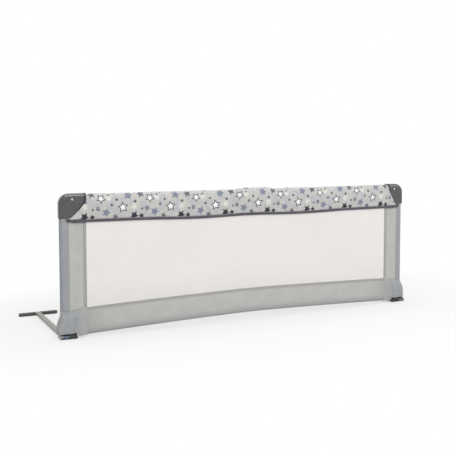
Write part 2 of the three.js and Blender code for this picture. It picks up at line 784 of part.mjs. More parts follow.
// Section of the cover at one place along the rail, from the front over the tube to the rear foot.
function coverRing(x) {
  const flat = JOINER.length / 2 + FIT;
  const hump = humpHeight * (1 - smooth(flat, flat + COVER.humpRun, Math.abs(x - JOINER.offset)));
  const radius = coverRadius + hump;
  const facet = 1 / Math.cos(Math.PI / (COVER.arcSteps * 2));
  const arc = spaced(Math.PI, -COVER.slope, COVER.arcSteps).map((turn) => [
    x,
    radius * facet * Math.cos(turn),
    topAxisZ + radius * Math.sin(turn),
  ]);
  const edge = lowerEdge(x) + cornerLift(x);
  const footZ = Math.max(coverFoot(x), edge + FIT * 2);
  const flapRear = -sleeveRadius - FIT;
  const ripple = COVER.ripple * Math.sin((x / COVER.rippleLength) * Math.PI * 2);
  const foot = [
    [x, flapRear + COVER.rearFoot, footZ],
    [x, flapRear, footZ],
    [x, flapRear, edge + FIT],
    [x, flapRear - COVER.flap / 2, edge],
  ];
  const front = spaced(0, 1, COVER.frontSteps)
    .slice(1, -1)
    .map((share) => {
      const bow = Math.sin(share * Math.PI) * (COVER.crown + ripple);
      const y = mix(flapRear - COVER.flap, -radius * facet, share);
      return [x, Math.max(y - bow, pivotY + HINGE.lead), mix(edge + COVER.flap / 2, topAxisZ, share)];
    });
  return [...arc, ...foot, [x, flapRear - COVER.flap, edge + COVER.flap / 2], ...front];
}

function paddedCover() {
  const corner = spaced(0, Math.PI / 2, COVER.cornerSteps).map(
    (turn) => coverEnd - coverCorner * (1 - Math.sin(turn)),
  );
  const level = spaced(-coverEnd + coverCorner, coverEnd - coverCorner, COVER.steps);
  const places = [...corner.map((x) => -x).reverse(), ...level.slice(1, -1), ...corner];
  const body = loft(places.map(coverRing));
  const half = JOINER.length / 2 + FIT;
  const reach = bracketHalf + OVERRUN;
  const bracket = plate(bracketOutline(OVERRUN), -reach, reach, { curveSteps: BRACKET.cornerSteps });
  bracket.translate(FIT * 2 - uprightX, 0, -FIT);
  return cut(body, [
    bar("x", tubeBore, -uprightX, uprightX, 0, topAxisZ),
    bar("x", joinerRadius + FIT, JOINER.offset - half, JOINER.offset + half, 0, topAxisZ),
    bracket,
    mirrored(bracket),
  ]);
}

// The piping hangs on the cover's lower edge, and turns up under each bracket.
function coverPiping() {
  const reach = PIPING.radius;
  const startX = -uprightX + coverStart - FIT - reach;
  const bend = PIPING.corner;
  const height = (x) => lowerEdge(x) - FIT - reach;
  const corner = spaced(0, Math.PI / 2, PIPING.cornerSteps).map((turn) => [
    startX + bend * (1 - Math.cos(turn)),
    height(startX + bend) + bend * (1 - Math.sin(turn)),
  ]);
  const left = [[startX, bracketBottomZ - FIT - reach / 2], ...corner];
  const middle = spaced(startX + bend, -startX - bend, PIPING.steps).map((x) => [x, height(x)]);
  const right = left.map(([x, z]) => [-x, z]).reverse();
  const y = -sleeveRadius - FIT - reach;
  return cordInPlane([...left, ...middle.slice(1, -1), ...right], y, reach, PIPING.sides);
}

// Sleeves, strips, hems and netting

function uprightSleeve() {
  const rearTouch = Math.atan2(-sleeveRadius, sleeveSeam) * 2 + Math.PI / 2;
  const outline = new THREE.Shape();
  outline.moveTo(sleeveSeam, -sleeveRadius);
  outline.lineTo(0, -sleeveRadius);
  outline.absarc(0, 0, sleeveRadius, -Math.PI / 2, rearTouch - Math.PI * 2, true);
  outline.lineTo(sleeveSeam, SEAM - sleeveRadius);
  outline.holes.push(new THREE.Path().absarc(0, 0, tubeBore, 0, Math.PI * 2));
  return slab(outline, POCKET.topZ + FIT, bracketBottomZ - FIT, { curveSteps: ROUND / 2 });
}

// A flat piece of the window's border, between two distances from the upright's axis.
function border(from, to, thick) {
  const top = (x) => Math.min(coverFoot(uprightX - x), bracketBottomZ) - FIT;
  const outline = new THREE.Shape();
  outline.moveTo(from, POCKET.topZ + FIT);
  outline.lineTo(to, POCKET.topZ + FIT);
  outline.lineTo(to, top(to));
  outline.lineTo(from, top(from));
  return plate(outline, -sleeveRadius, thick - sleeveRadius);
}

const bow = (x) => Math.abs(x / windowHalf) ** BAND.bowPowerShare;
const bandTop = (x) => BAND.topZ - BAND.topDrop * bow(x);
const bandBottom = (x) => BAND.bottomZ - BAND.bottomDrop * bow(x);

function meshWindow() {
  const end = windowHalf - FIT;
  const places = spaced(-end, end, NET.steps);
  const lower = places.map((x) => new THREE.Vector2(x, bandTop(x) + FIT));
  const upper = places.map((x) => new THREE.Vector2(x, coverFoot(x) - FIT)).reverse();
  return plate(new THREE.Shape([...lower, ...upper]), -sleeveRadius, NET.thick - sleeveRadius);
}

// Bottom band

// Section of the band at one place along the rail, drawn in by the given distance.
function bandRing(x, inset) {
  const top = bandTop(x) - (inset > 0 ? BAND.seam : 0);
  const centreZ = bandBottom(x) + BAND.round;
  const centreY = BAND.round - sleeveRadius;
  const radius = BAND.round - inset;
  const arc = spaced(Math.PI, Math.PI * 2, BAND.arcSteps).map((turn) => [
    x,
    centreY + radius * Math.cos(turn),
    centreZ + radius * Math.sin(turn),
  ]);
  const fullZ = railHeight(x) + BAND.full;
  const rear = spaced(0, 1, BAND.wallSteps).map((share) => [
    x,
    mix(centreY + radius, SEAM - sleeveRadius - inset * BAND.rearLipShare, share),
    mix(fullZ, top, share),
  ]);
  const front = spaced(1, 0, BAND.wallSteps)
    .slice(0, -1)
    .map((share) => {
      const crown = BAND.crown * Math.sin(share * Math.PI);
      const layer = share === 1 ? inset * BAND.frontLipShare : inset;
      return [x, -sleeveRadius - crown + layer, mix(centreZ, top, share)];
    });
  return [...arc, ...rear, ...front];
}

function bottomBand() {
  const end = windowHalf - FIT;
  const places = spaced(-end, end, BAND.steps);
  return shell(
    places.map((x) => bandRing(x, 0)),
    places.map((x) => bandRing(x, CLOTH)),
  );
}

// Corner pocket round the housing

// Ring of the pocket at a share of its height, drawn in by the given distance.
function pocketRing(share, inset) {
  const bulge = POCKET.bulge * (1 - smooth(...POCKET.bulgeShares, share));
  const full = 1 - smooth(POCKET.fullShare, 1, share);
  const front = mix(sleeveRadius, pocketFront, full) - inset;
  const rear = mix(sleeveRadius, pocketRear, full) - inset;
  const endX = hemInner;
  const armX = blockEnd + FIT * 2;
  const lowZ = (x) => mix(guardBottomZ, bandBottom(windowHalf), smooth(armX, endX, x));
  const height = (x) => mix(lowZ(x), POCKET.topZ, share);
  const place = (x, y) => [x, y, height(x)];
  const foldTopZ = bandBottom(windowHalf) + BAND.round;
  const aboveFold = (height(endX) - foldTopZ) / (POCKET.topZ - foldTopZ);
  const endShare = THREE.MathUtils.clamp(aboveFold, 0, 1);
  const bandRear = mix(BAND.round * 2 - sleeveRadius, SEAM - sleeveRadius, endShare);
  const thinRear = (x) => mix(rear, SEAM - sleeveRadius, smooth(0, sleeveSeam, x));
  const fullRear = (x) => mix(rear, bandRear - inset, smooth(armX, endX, x));
  const inner = endX - inset * 2;
  const reach = sleeveRadius - inset;
  const sides = [inner, (inner + armX) / 2, armX, (armX + sleeveSeam) / 2, sleeveSeam, 0, -bulge];
  const frontSide = sides.map((x) => place(x, -mix(front, sleeveRadius - inset, smooth(armX, endX, x))));
  const power = mix(1, POCKET.cornerPowerShare, full);
  const squared = (value) => Math.sign(value) * Math.abs(value) ** power;
  const outerArc = spaced(-Math.PI / 2, -Math.PI * 1.5, POCKET.arcSteps)
    .slice(1, -1)
    .map((turn) => {
      const x = -bulge + reach * squared(Math.cos(turn));
      return place(x, (rear - front) / 2 + ((front + rear) / 2) * squared(Math.sin(turn)));
    });
  const rearSide = sides.map((x) => place(x, mix(thinRear(x), fullRear(x), full))).reverse();
  return [...frontSide, ...outerArc, ...rearSide];
}

function cornerPocket() {
  const outer = loft(spaced(0, 1, POCKET.steps).map((share) => pocketRing(share, 0)));
  const low = spaced(...POCKET.cavityShares, POCKET.steps);
  const cavity = loft(low.map((share) => pocketRing(share, SEAM)));
  return cut(outer, [
    common(cavity, box(-LENGTH, blockEnd + FIT * 2, -LENGTH, LENGTH, -LENGTH, LENGTH)),
    bar("z", tubeBore, guardBottomZ, POCKET.topZ + OVERRUN, 0, 0),
    bar("x", railBore + FIT, HOUSING.inner, hemInner + OVERRUN, 0, railZ),
  ]);
}

// Assembly

const part = new THREE.Group();
const frontReach = BUTTON.face + BUTTON.rib - pivotY;
const backReach = LEG_REACH + CROSSBAR.width / 2;
part.position.y = (frontReach - backReach) / 2;

function add(group, name, geometry, material) {
  const piece = new THREE.Mesh(geometry, material);
  piece.name = name;
  group.add(piece);
}

add(part, "top_tube_left", topTube(-1), framePaint);
add(part, "top_tube_right", topTube(1), framePaint);
add(part, "tube_joiner", tubeJoiner(), blackPlastic);
add(part, "bottom_rail", bottomRail(), framePaint);
add(part, "padded_cover", paddedCover(), printedCloth);
add(part, "cover_piping", coverPiping(), pipingCloth);
add(part, "mesh_window", meshWindow(), nettingCloth);
add(part, "bottom_band", bottomBand(), bandCloth);

// Both sides are alike: the right one is the left one mirrored.
for (const [side, sign] of [["left", -1], ["right", 1]]) {
  const group = new THREE.Group();
  group.position.x = sign * uprightX;
  group.scale.x = -sign;
  part.add(group);
  add(group, `upright_${side}`, upright(), framePaint);
  add(group, `corner_bracket_${side}`, cornerBracket(), bracketPlastic);
  add(group, `snap_button_${side}`, snapButton(), zincPlate);
  add(group, `hinge_lug_${side}`, hingeLug(), zincPlate);
  add(group, `housing_front_${side}`, housingShell(true), blackPlastic);
  add(group, `housing_rear_${side}`, housingShell(false), blackPlastic);
  add(group, `housing_screw_lower_${side}`, housingScrew(screwHeights[0]), zincPlate);
  add(group, `housing_screw_upper_${side}`, housingScrew(screwHeights[1]), zincPlate);
  add(group, `upright_sleeve_${side}`, uprightSleeve(), sleeveCloth);
  add(group, `side_strip_${side}`, border(sleeveSeam + FIT, stripInner, STRIP.thick), stripCloth);
  add(group, `window_hem_${side}`, border(stripInner + FIT, hemInner, HEM.thick), hemCloth);
  add(group, `corner_pocket_${side}`, cornerPocket(), sleeveCloth);
  add(group, `hinge_base_${side}`, hingeBase(), blackPlastic);
  add(group, `hinge_pin_${side}`, hingePin(), zincPlate);
  add(group, `release_button_${side}`, releaseButton(), blackPlastic);
  add(group, `release_spring_${side}`, releaseSpring(), zincPlate);
  add(group, `leg_arm_${side}`, legArm(), legPaint);
  const armRivet = rivet(rivetY, armBottomZ + ARM.wall, baseTopZ + FIT);
  add(group, `arm_rivet_${side}`, armRivet, zincPlate);
  add(group, `leg_crossbar_${side}`, legCrossbar(), crossbarPlastic);
  const crossbarRivet = rivet(LEG_REACH, RIVET.base + FIT, armFlatTopZ + FIT);
  add(group, `crossbar_rivet_${side}`, crossbarRivet, zincPlate);
}

export default part;
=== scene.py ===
"""Looks of a folding bed guard rail: its cloth, netting, mouldings and metal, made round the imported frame."""

import math

import bmesh
import bpy
from mathutils import Matrix, Vector, noise


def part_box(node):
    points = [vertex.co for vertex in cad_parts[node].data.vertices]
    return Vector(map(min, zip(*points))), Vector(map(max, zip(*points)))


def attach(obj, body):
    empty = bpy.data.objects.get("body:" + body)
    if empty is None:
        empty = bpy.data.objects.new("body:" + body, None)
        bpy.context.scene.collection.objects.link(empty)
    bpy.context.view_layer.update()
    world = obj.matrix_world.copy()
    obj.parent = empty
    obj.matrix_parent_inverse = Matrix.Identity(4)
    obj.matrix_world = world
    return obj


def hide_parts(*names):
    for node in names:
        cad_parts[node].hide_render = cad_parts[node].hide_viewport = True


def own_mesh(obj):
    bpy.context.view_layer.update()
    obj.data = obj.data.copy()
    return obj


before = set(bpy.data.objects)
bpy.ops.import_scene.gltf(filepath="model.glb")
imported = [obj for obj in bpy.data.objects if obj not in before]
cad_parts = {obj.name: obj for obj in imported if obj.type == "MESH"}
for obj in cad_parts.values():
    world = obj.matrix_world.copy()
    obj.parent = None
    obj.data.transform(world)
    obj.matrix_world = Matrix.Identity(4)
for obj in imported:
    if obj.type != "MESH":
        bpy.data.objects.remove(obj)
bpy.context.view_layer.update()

# Lengths are in millimetres, and Y is counted from the tube plane. The frame gives the places.
MM = 0.001


def middle(node):
    low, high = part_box(node)
    return (low + high) / 2 / MM


TUBE_PLANE = middle("upright_left").y
UPRIGHT_X = middle("upright_right").x
TOP_AXIS_Z = middle("top_tube_left").z
TOP_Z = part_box("corner_bracket_left")[1].z / MM
JOINER_X = middle("tube_joiner").x
JOINER_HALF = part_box("tube_joiner")[1].x / MM - JOINER_X
FOLDING_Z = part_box("housing_front_left")[0].z / MM  # underside of all that folds

# Sizes that the pieces share. Places along the rail are counted from an upright's axis towards the middle.
TUBE = 11.3  # radius of a tube, with a little room
SLEEVE = 12  # from an upright's axis to the cloth in front of it
SEWN = 1.2 - SLEEVE  # depth at which a rear layer of cloth is sewn to the one in front
SLEEVE_SEAM = 14.4
STRIP_END = 59.4
HEM_END = 69.9
WINDOW_HALF = UPRIGHT_X - HEM_END
POCKET_TOP = 94
BRACKET_FOOT = 76  # height of a bracket
BRACKET_WALL = 3.7
BRACKET_OUTER = -TUBE - BRACKET_WALL
BRACKET_HALF = TUBE + 3.9
ARM_DEPTH = 22  # height of the end of a bracket's arm
SHADE_STRIP_DEPTH = 46  # height of the strip of painted shade along that end
GAP = 0.3  # between pieces that touch
PAST = 30  # half depth of a tool that cuts right through


# Objects and shader nodes

def new_object(name, data):
    made = bpy.data.objects.new(name, data)
    bpy.context.scene.collection.objects.link(made)
    return made


def colour(code):
    """An sRGB hex value as the linear colour that a shader takes."""
    parts = [int(code[i : i + 2], 16) / 255 for i in (1, 3, 5)]
    return [c / 12.92 if c <= 0.04045 else ((c + 0.055) / 1.055) ** 2.4 for c in parts] + [1]


def add(tree, kind, inputs=(), **settings):
    """A node with its settings. Its inputs are named or in order: values, other nodes or their sockets."""
    made = tree.nodes.new(kind)
    for name, value in settings.items():
        setattr(made, name, value)
    if isinstance(inputs, dict):
        pairs = [(made.inputs[name], value) for name, value in inputs.items()]
    else:
        pairs = zip([socket for socket in made.inputs if socket.enabled], inputs)
    for socket, value in pairs:
        if isinstance(value, bpy.types.Node):
            value = next(output for output in value.outputs if output.enabled)
        if isinstance(value, bpy.types.NodeSocket):
            tree.links.new(value, socket)
        else:
            socket.default_value = value
    return made


# Camera, matched to the photograph

def make_camera():
    data = bpy.data.cameras.new("camera")
    data.sensor_width = 36
    data.lens = 55.8
    data.shift_y = -0.0888
    data.clip_end = 50
    camera = new_object("camera", data)
    forward = Vector((0.41807, 0.90634, -0.06131))
    right = Vector((0.90804, -0.41889, -0.00059))
    up = right.cross(forward)
    turn = Matrix((right, up, -forward)).transposed().to_4x4()
    place = Vector((-1083.5, -2181.1 + TUBE_PLANE, 603.2)) * MM
    camera.matrix_world = Matrix.Translation(place) @ turn
    bpy.context.scene.camera = camera


# Materials

def new_material(name, cloth=False):
    """An empty material, its tree, and the place that its patterns go by: along and across the cloth in
    millimetres, or the object's own in metres."""
    material = bpy.data.materials.new(name)
    material.use_nodes = True
    tree = material.node_tree
    tree.nodes.clear()
    if cloth:
        return material, tree, add(tree, "ShaderNodeUVMap", uv_map="cloth")
    return material, tree, add(tree, "ShaderNodeTexCoord").outputs["Object"]


def shaded(material, inputs):
    """The material, ended with its shader."""
    tree = material.node_tree
    shader = add(tree, "ShaderNodeBsdfPrincipled", inputs)
    add(tree, "ShaderNodeOutputMaterial", {"Surface": shader})
    return material


def weave(tree, place, pitch, depth):
    """A plain weave, with threads over and under each other both ways: its height, and the bump of it.
    Real threads are about 0.3 mm apart and wouldn't show, so the pitch is as coarse as it needs to be."""
    along = add(tree, "ShaderNodeSeparateXYZ", [place])
    waves = []
    for axis in ("X", "Y"):
        turn = add(tree, "ShaderNodeMath", [along.outputs[axis], math.pi / pitch], operation="MULTIPLY")
        waves.append(add(tree, "ShaderNodeMath", [turn], operation="SINE"))
    crossing = add(tree, "ShaderNodeMath", waves, operation="MULTIPLY")
    height = add(tree, "ShaderNodeMath", [crossing, 0.5, 0.5], operation="MULTIPLY_ADD")
    bump = add(tree, "ShaderNodeBump", {"Height": height, "Strength": 0.5, "Distance": depth * MM})
    return height, bump


def uneven(tree, place, size, edges, codes, detail=4):
    """A tone that wanders between two colours in patches of a size, and the pattern that it follows."""
    cloud = add(tree, "ShaderNodeTexNoise", {"Vector": place, "Scale": 1 / size, "Detail": detail})
    patch = add(tree, "ShaderNodeMapRange", [cloud, *edges], interpolation_type="SMOOTHSTEP")
    tone = add(tree, "ShaderNodeMix", [patch, *map(colour, codes)], data_type="RGBA")
    return tone, cloud


def grained(tree, place, size, strength, depth):
    """The bump of fine grains, whose size and depth are in millimetres."""
    grains = add(tree, "ShaderNodeTexNoise", {"Vector": place, "Scale": 1 / (size * MM), "Detail": 2})
    return add(tree, "ShaderNodeBump", {"Height": grains, "Strength": strength, "Distance": depth * MM})


def woven_cloth(name, base, shade, pitch=1.4, depth=0.25, sheen=0.15, blotch=45, tints=()):
    """Cloth of dyed polyester yarn, plainly woven. To the eye it is matte and slightly uneven, with a fine
    grid of threads and a faint sheen at a grazing angle.

    Each of the tints is a colour, the cloth coordinate that it goes by, the distances between which the
    cloth turns to it, and how strong it is. Some tints are painted shade, along seams and under folds."""
    material, tree, place = new_material(name, cloth=True)
    height, bump = weave(tree, place, pitch, depth)
    cloud = add(tree, "ShaderNodeTexNoise", {"Vector": place, "Scale": 1 / blotch, "Detail": 4})
    patch = add(tree, "ShaderNodeMapRange", [cloud, 0.3, 0.7], interpolation_type="SMOOTHSTEP")
    half_patch = add(tree, "ShaderNodeMath", [patch, 0.5], operation="MULTIPLY")
    # Painted shade: the hollows of the weave take the shade colour, and the blotches lift it towards the base.
    threads = add(tree, "ShaderNodeMath", [height, 0.35, half_patch], operation="MULTIPLY_ADD")
    tone = add(tree, "ShaderNodeMix", [threads, colour(shade), colour(base)], data_type="RGBA")
    for code, axis, low, high, strength in tints:
        along = add(tree, "ShaderNodeSeparateXYZ", [place]).outputs[axis]
        away = add(tree, "ShaderNodeMath", [along], operation="ABSOLUTE")
        near = add(tree, "ShaderNodeMapRange", [away, low, high], interpolation_type="SMOOTHSTEP")
        share = add(tree, "ShaderNodeMath", [near, strength], operation="MULTIPLY")
        tone = add(tree, "ShaderNodeMix", [share, tone, colour(code)], data_type="RGBA")
    looks = {"Roughness": 0.85, "Sheen Weight": sheen, "Sheen Roughness": 0.5, "Specular IOR Level": 0.25}
    return shaded(material, {"Base Color": tone, "Normal": bump, **looks})


# The print: stars and dots on a mottled ground, in a repeat of this length and height
REPEAT = (160, 118)


def from_spot(tree, place, spot, turn=0.0):
    """Place counted from a spot in the nearest repeat of the print, turned by an angle in degrees."""
    apart = add(tree, "ShaderNodeVectorMath", [place, (*spot, 0)], operation="SUBTRACT")
    half = (REPEAT[0] / 2, REPEAT[1] / 2, 1)
    low = tuple(-h for h in half)
    wrapped = add(tree, "ShaderNodeVectorMath", [apart, half, low], operation="WRAP")
    spin = {"Vector": wrapped, "Angle": math.radians(turn)}
    return add(tree, "ShaderNodeVectorRotate", spin, rotation_type="Z_AXIS")


def star(tree, place, spot, radius, turn, valley_share=0.5):
    """How far inside a five-pointed star each point lies, in millimetres, negative outside."""
    from_middle = from_spot(tree, place, spot, turn)
    reach = add(tree, "ShaderNodeVectorMath", [from_middle], operation="LENGTH")
    at = add(tree, "ShaderNodeSeparateXYZ", [from_middle])
    fold = math.pi / 5
    angle = add(tree, "ShaderNodeMath", [at.outputs["X"], at.outputs["Y"]], operation="ARCTAN2")
    ray = add(tree, "ShaderNodeMath", [angle, fold], operation="PINGPONG")
    tip = Vector((radius, 0))
    notch = radius * valley_share * Vector((math.cos(fold), math.sin(fold)))
    normal = Vector((tip.y - notch.y, notch.x - tip.x)).normalized()
    if normal.dot(tip) < 0:
        normal.negate()
    slope = 0.0
    for wave, part in (("COSINE", normal.x), ("SINE", normal.y)):
        swing = add(tree, "ShaderNodeMath", [ray], operation=wave)
        slope = add(tree, "ShaderNodeMath", [swing, part, slope], operation="MULTIPLY_ADD")
    out = add(tree, "ShaderNodeMath", [reach, slope], operation="MULTIPLY")
    return add(tree, "ShaderNodeMath", [normal.dot(tip), out], operation="SUBTRACT")


def dot(tree, place, spot, radius):
    """How far inside a round dot each point lies, in millimetres."""
    apart = add(tree, "ShaderNodeVectorMath", [from_spot(tree, place, spot)], operation="LENGTH")
    return add(tree, "ShaderNodeMath", [radius, apart], operation="SUBTRACT")


def print_shapes(tree, place):
    """The dots and stars of the print, the ones that lie on top last, each with its colour."""
    dark, violet, blue, slate, white = "#3A383F", "#716D77", "#848A9B", "#6F6F7B", "#F6F6F8"
    dots = [
        ((8, 58), 3.6, dark),
        ((92, 28), 3.2, dark),
        ((142, 74), 3.0, dark),
        ((68, 52), 4.8, slate),
        ((152, 42), 4.6, slate),
        ((68, 52), 1.8, dark),
    ]
    stars = [
        ((46, 72), 16.0, 10, blue),
        ((88, 76), 14.0, -14, violet),
        ((134, 18), 15.0, 22, blue),
        ((66, 7), 14.5, 30, dark),
        ((90, 5), 10.0, -6, dark),
        ((4, 4), 11.0, 20, violet),
        ((150, 94), 12.0, 14, dark),
        ((66, 98), 11.0, -20, dark),
        ((16, 96), 9.0, 8, violet),
        ((28, 34), 18.5, -8, dark),
        ((28, 34), 12.5, -8, white),
        ((118, 62), 16.5, 34, dark),
        ((118, 62), 11.0, 34, white),
    ]
    flower, petals, petal_reach, petal = (108, 30), 6, 5.2, 2.1
    turns = [i * 2 * math.pi / petals for i in range(petals)]
    ring = [(0, 0), *[(petal_reach * math.cos(t), petal_reach * math.sin(t)) for t in turns]]
    shapes = [(dot(tree, place, spot, radius), code) for spot, radius, code in dots]
    shapes += [(star(tree, place, spot, radius, turn), code) for spot, radius, turn, code in stars]
    shapes += [(dot(tree, place, (flower[0] + x, flower[1] + y), petal), "#544D72") for x, y in ring]
    return shapes


def printed_cloth():
    """Polyester oxford with a transfer print. To the eye the ground is pale and mottled, and the print is
    matte like the cloth, with edges that are slightly soft."""
    material, tree, place = new_material("printed_polyester", cloth=True)
    height, bump = weave(tree, place, 1.2, 0.2)
    ground = uneven(tree, place, 26, (0.42, 0.62), ("#CBCAC4", "#C1C0C5"), detail=3)[0]
    layers = []
    grain = add(tree, "ShaderNodeTexNoise", {"Vector": place, "Scale": 1 / 6, "Detail": 3})
    speckle = add(tree, "ShaderNodeMapRange", [grain, 0.35, 0.75], interpolation_type="SMOOTHSTEP")
    layers.append((add(tree, "ShaderNodeMath", [speckle, 0.35], operation="MULTIPLY"), "#A3A2A5"))
    for spot, radius in (((66, 36), 15), ((142, 64), 13)):
        inside = dot(tree, place, spot, radius)
        glow = add(tree, "ShaderNodeMapRange", [inside, 0, radius], interpolation_type="SMOOTHSTEP")
        layers.append((add(tree, "ShaderNodeMath", [glow, 0.8], operation="MULTIPLY"), "#EBE9E0"))
    tiny = add(tree, "ShaderNodeTexVoronoi", {"Vector": place, "Scale": 1 / 13, "Randomness": 1.0})
    chance = add(tree, "ShaderNodeSeparateXYZ", [tiny.outputs["Color"]])
    few = add(tree, "ShaderNodeMath", [chance, 0.62], operation="GREATER_THAN")
    edge = [tiny.outputs["Distance"], 0.07, 0.12, 1, 0]
    near = add(tree, "ShaderNodeMapRange", edge, interpolation_type="SMOOTHSTEP")
    layers.append((add(tree, "ShaderNodeMath", [few, near], operation="MULTIPLY"), "#77747E"))
    for inside, code in print_shapes(tree, place):
        share = add(tree, "ShaderNodeMapRange", [inside, -0.5, 0.5], interpolation_type="SMOOTHSTEP")
        layers.append((share, code))
    for share, code in layers:
        ground = add(tree, "ShaderNodeMix", [share, ground, colour(code)], data_type="RGBA")
    # Painted shade: the print is darkened in the hollows of the weave.
    wear_and_shade = add(tree, "ShaderNodeMath", [height, 0.12, 0.88], operation="MULTIPLY_ADD")
    tone = add(tree, "ShaderNodeVectorMath", [ground, wear_and_shade], operation="SCALE")
    looks = {"Roughness": 0.8, "Sheen Weight": 0.1, "Specular IOR Level": 0.25}
    return shaded(material, {"Base Color": tone, "Normal": bump, **looks})


def netting():
    """Warp-knitted polyester net: pale threads round open holes. To the eye it is a light veil over what is
    behind it. Its holes are drawn a little coarser than real, so that they show."""
    pitch = 2.2
    material, tree, place = new_material("knitted_net", cloth=True)
    slant = {"Vector": place, "Rotation": (0, 0, math.radians(45)), "Scale": (1 / pitch,) * 3}
    turned = add(tree, "ShaderNodeMapping", slant)
    even = {"Vector": turned, "Scale": 1.0, "Randomness": 0.0}
    holes = add(tree, "ShaderNodeTexVoronoi", even, voronoi_dimensions="2D")
    thread = add(tree, "ShaderNodeMapRange", [holes, 0.26, 0.4], interpolation_type="SMOOTHSTEP")
    bump = add(tree, "ShaderNodeBump", {"Height": thread, "Strength": 0.4, "Distance": 0.2 * MM})
    cloud = add(tree, "ShaderNodeTexNoise", {"Vector": place, "Scale": 1 / 220, "Detail": 2})
    tone = add(tree, "ShaderNodeMix", [cloud, colour("#D3CCC8"), colour("#DDD9D6")], data_type="RGBA")
    looks = {"Roughness": 0.75, "Sheen Weight": 0.1}
    return shaded(material, {"Base Color": tone, "Normal": bump, "Alpha": thread, **looks})


def moulded(name, base, wear_and_shade, roughness, grit=0.9, coat=0.0, ear=None):
    """Injection-moulded plastic from a spark-eroded mould. To the eye its colour is even, with a fine grain
    that softens its highlights, and with spots that handling has rubbed paler. A coat stands for the gloss
    of a polished mould.

    ear gives the colour beyond a distance from the object's middle in X, where a cap is let in."""
    material, tree, place = new_material(name)
    tone, cloud = uneven(tree, place, 30 * MM, (0.35, 0.75), (base, wear_and_shade))
    if ear:
        code, start = ear
        along = add(tree, "ShaderNodeSeparateXYZ", [place])
        away = add(tree, "ShaderNodeMath", [along], operation="ABSOLUTE")
        beyond = add(tree, "ShaderNodeMath", [away, start * MM], operation="GREATER_THAN")
        tone = add(tree, "ShaderNodeMix", [beyond, tone, colour(code)], data_type="RGBA")
    gloss = add(tree, "ShaderNodeMath", [cloud, 0.16, roughness - 0.08], operation="MULTIPLY_ADD")
    bump = grained(tree, place, grit, 0.35, 0.05)
    looks = {"Roughness": gloss, "IOR": 1.49, "Coat Weight": coat}
    return shaded(material, {"Base Color": tone, "Normal": bump, **looks})


def powder_coat(name, base, wear_and_shade):
    """Steel tube with a baked powder coat. To the eye it is a satin paint, with a slight orange peel."""
    material, tree, place = new_material(name)
    tone = uneven(tree, place, 40 * MM, (0.35, 0.7), (base, wear_and_shade))[0]
    bump = grained(tree, place, 2.2, 0.3, 0.06)
    return shaded(material, {"Base Color": tone, "Normal": bump, "Roughness": 0.42, "Coat Weight": 0.2})


def zinc_steel(name, dull, bright, roughness):
    """Pressed steel, zinc-plated and passivated. To the eye it is a blue-white metal with a cloudy shine."""
    material, tree, place = new_material(name)
    tone, cloud = uneven(tree, place, 5 * MM, (0.3, 0.7), (dull, bright), detail=5)
    gloss = add(tree, "ShaderNodeMath", [cloud, 0.25, roughness - 0.12], operation="MULTIPLY_ADD")
    return shaded(material, {"Base Color": tone, "Roughness": gloss, "Metallic": 1.0})


def sewing_thread(name, code):
    """Spun polyester thread. To the eye it is matte, with its twist as fine light and dark turns."""
    material, tree, place = new_material(name)
    twist = add(tree, "ShaderNodeTexWave", {"Vector": place, "Scale": 1 / (0.8 * MM)})
    fibre = twist.outputs["Fac"]
    bump = add(tree, "ShaderNodeBump", {"Height": fibre, "Strength": 0.4, "Distance": 0.1 * MM})
    light = [c * 1.15 for c in colour(code)]
    tone = add(tree, "ShaderNodeMix", [fibre, colour(code), light], data_type="RGBA")
    return shaded(material, {"Base Color": tone, "Normal": bump, "Roughness": 0.7})


# Finishes. Some tints are painted shade, for folds and seams too small for the mesh: beside the sleeve's
# seam, along the band's stitched hem and under the band's fold round the rail. The tints where the pocket
# and the band meet blend their colours.
PRINT = printed_cloth()
PIPING = woven_cloth("piping_bias_tape", "#655F68", "#504C54", pitch=0.9, sheen=0.1)
# Painted shade: the sleeve is darker beside its front seam.
SLEEVE_SEAM_SHADE = [("#9A9B9B", 0, 13, 7, 0.8)]
SLEEVE_CLOTH = woven_cloth("sleeve_oxford", "#A0A4A8", "#92969B", tints=SLEEVE_SEAM_SHADE)
POCKET_TINTS = [("#ABABA9", 0, 44, 6, 0.9)]
POCKET_CLOTH = woven_cloth("pocket_oxford", "#ABACAD", "#93969A", blotch=17, tints=POCKET_TINTS)
STRIP_CLOTH = woven_cloth("strip_twill", "#BDBEB9", "#B0B1AC", pitch=1.1)
HEM_CLOTH = woven_cloth("hem_binding", "#A9A9A7", "#9E9E9C", pitch=0.9)
BAND_TINTS_AND_SHADE = [
    ("#ABABA9", 0, 500, 568, 0.9),
    # painted shade along the band's stitched hem
    ("#A1A1A0", 1, 12, 8, 0.85),
    # painted shade under the band's fold round the rail
    ("#9B9DA0", 1, 56, 84, 0.85),
]
BAND_CLOTH = woven_cloth("band_oxford", "#BFBEBA", "#B2B1AE", tints=BAND_TINTS_AND_SHADE)
NET = netting()
BRACKET_PLASTIC = moulded("bracket_polypropylene", "#404041", "#484849", 0.2, coat=0.6)
# Painted shade: a dark strip along the end of each bracket's arm, where it meets the cover.
SHADE_STRIP_PLASTIC = moulded("bracket_end_painted_shade", "#29292B", "#4C4C4E", 0.5, grit=1.6)
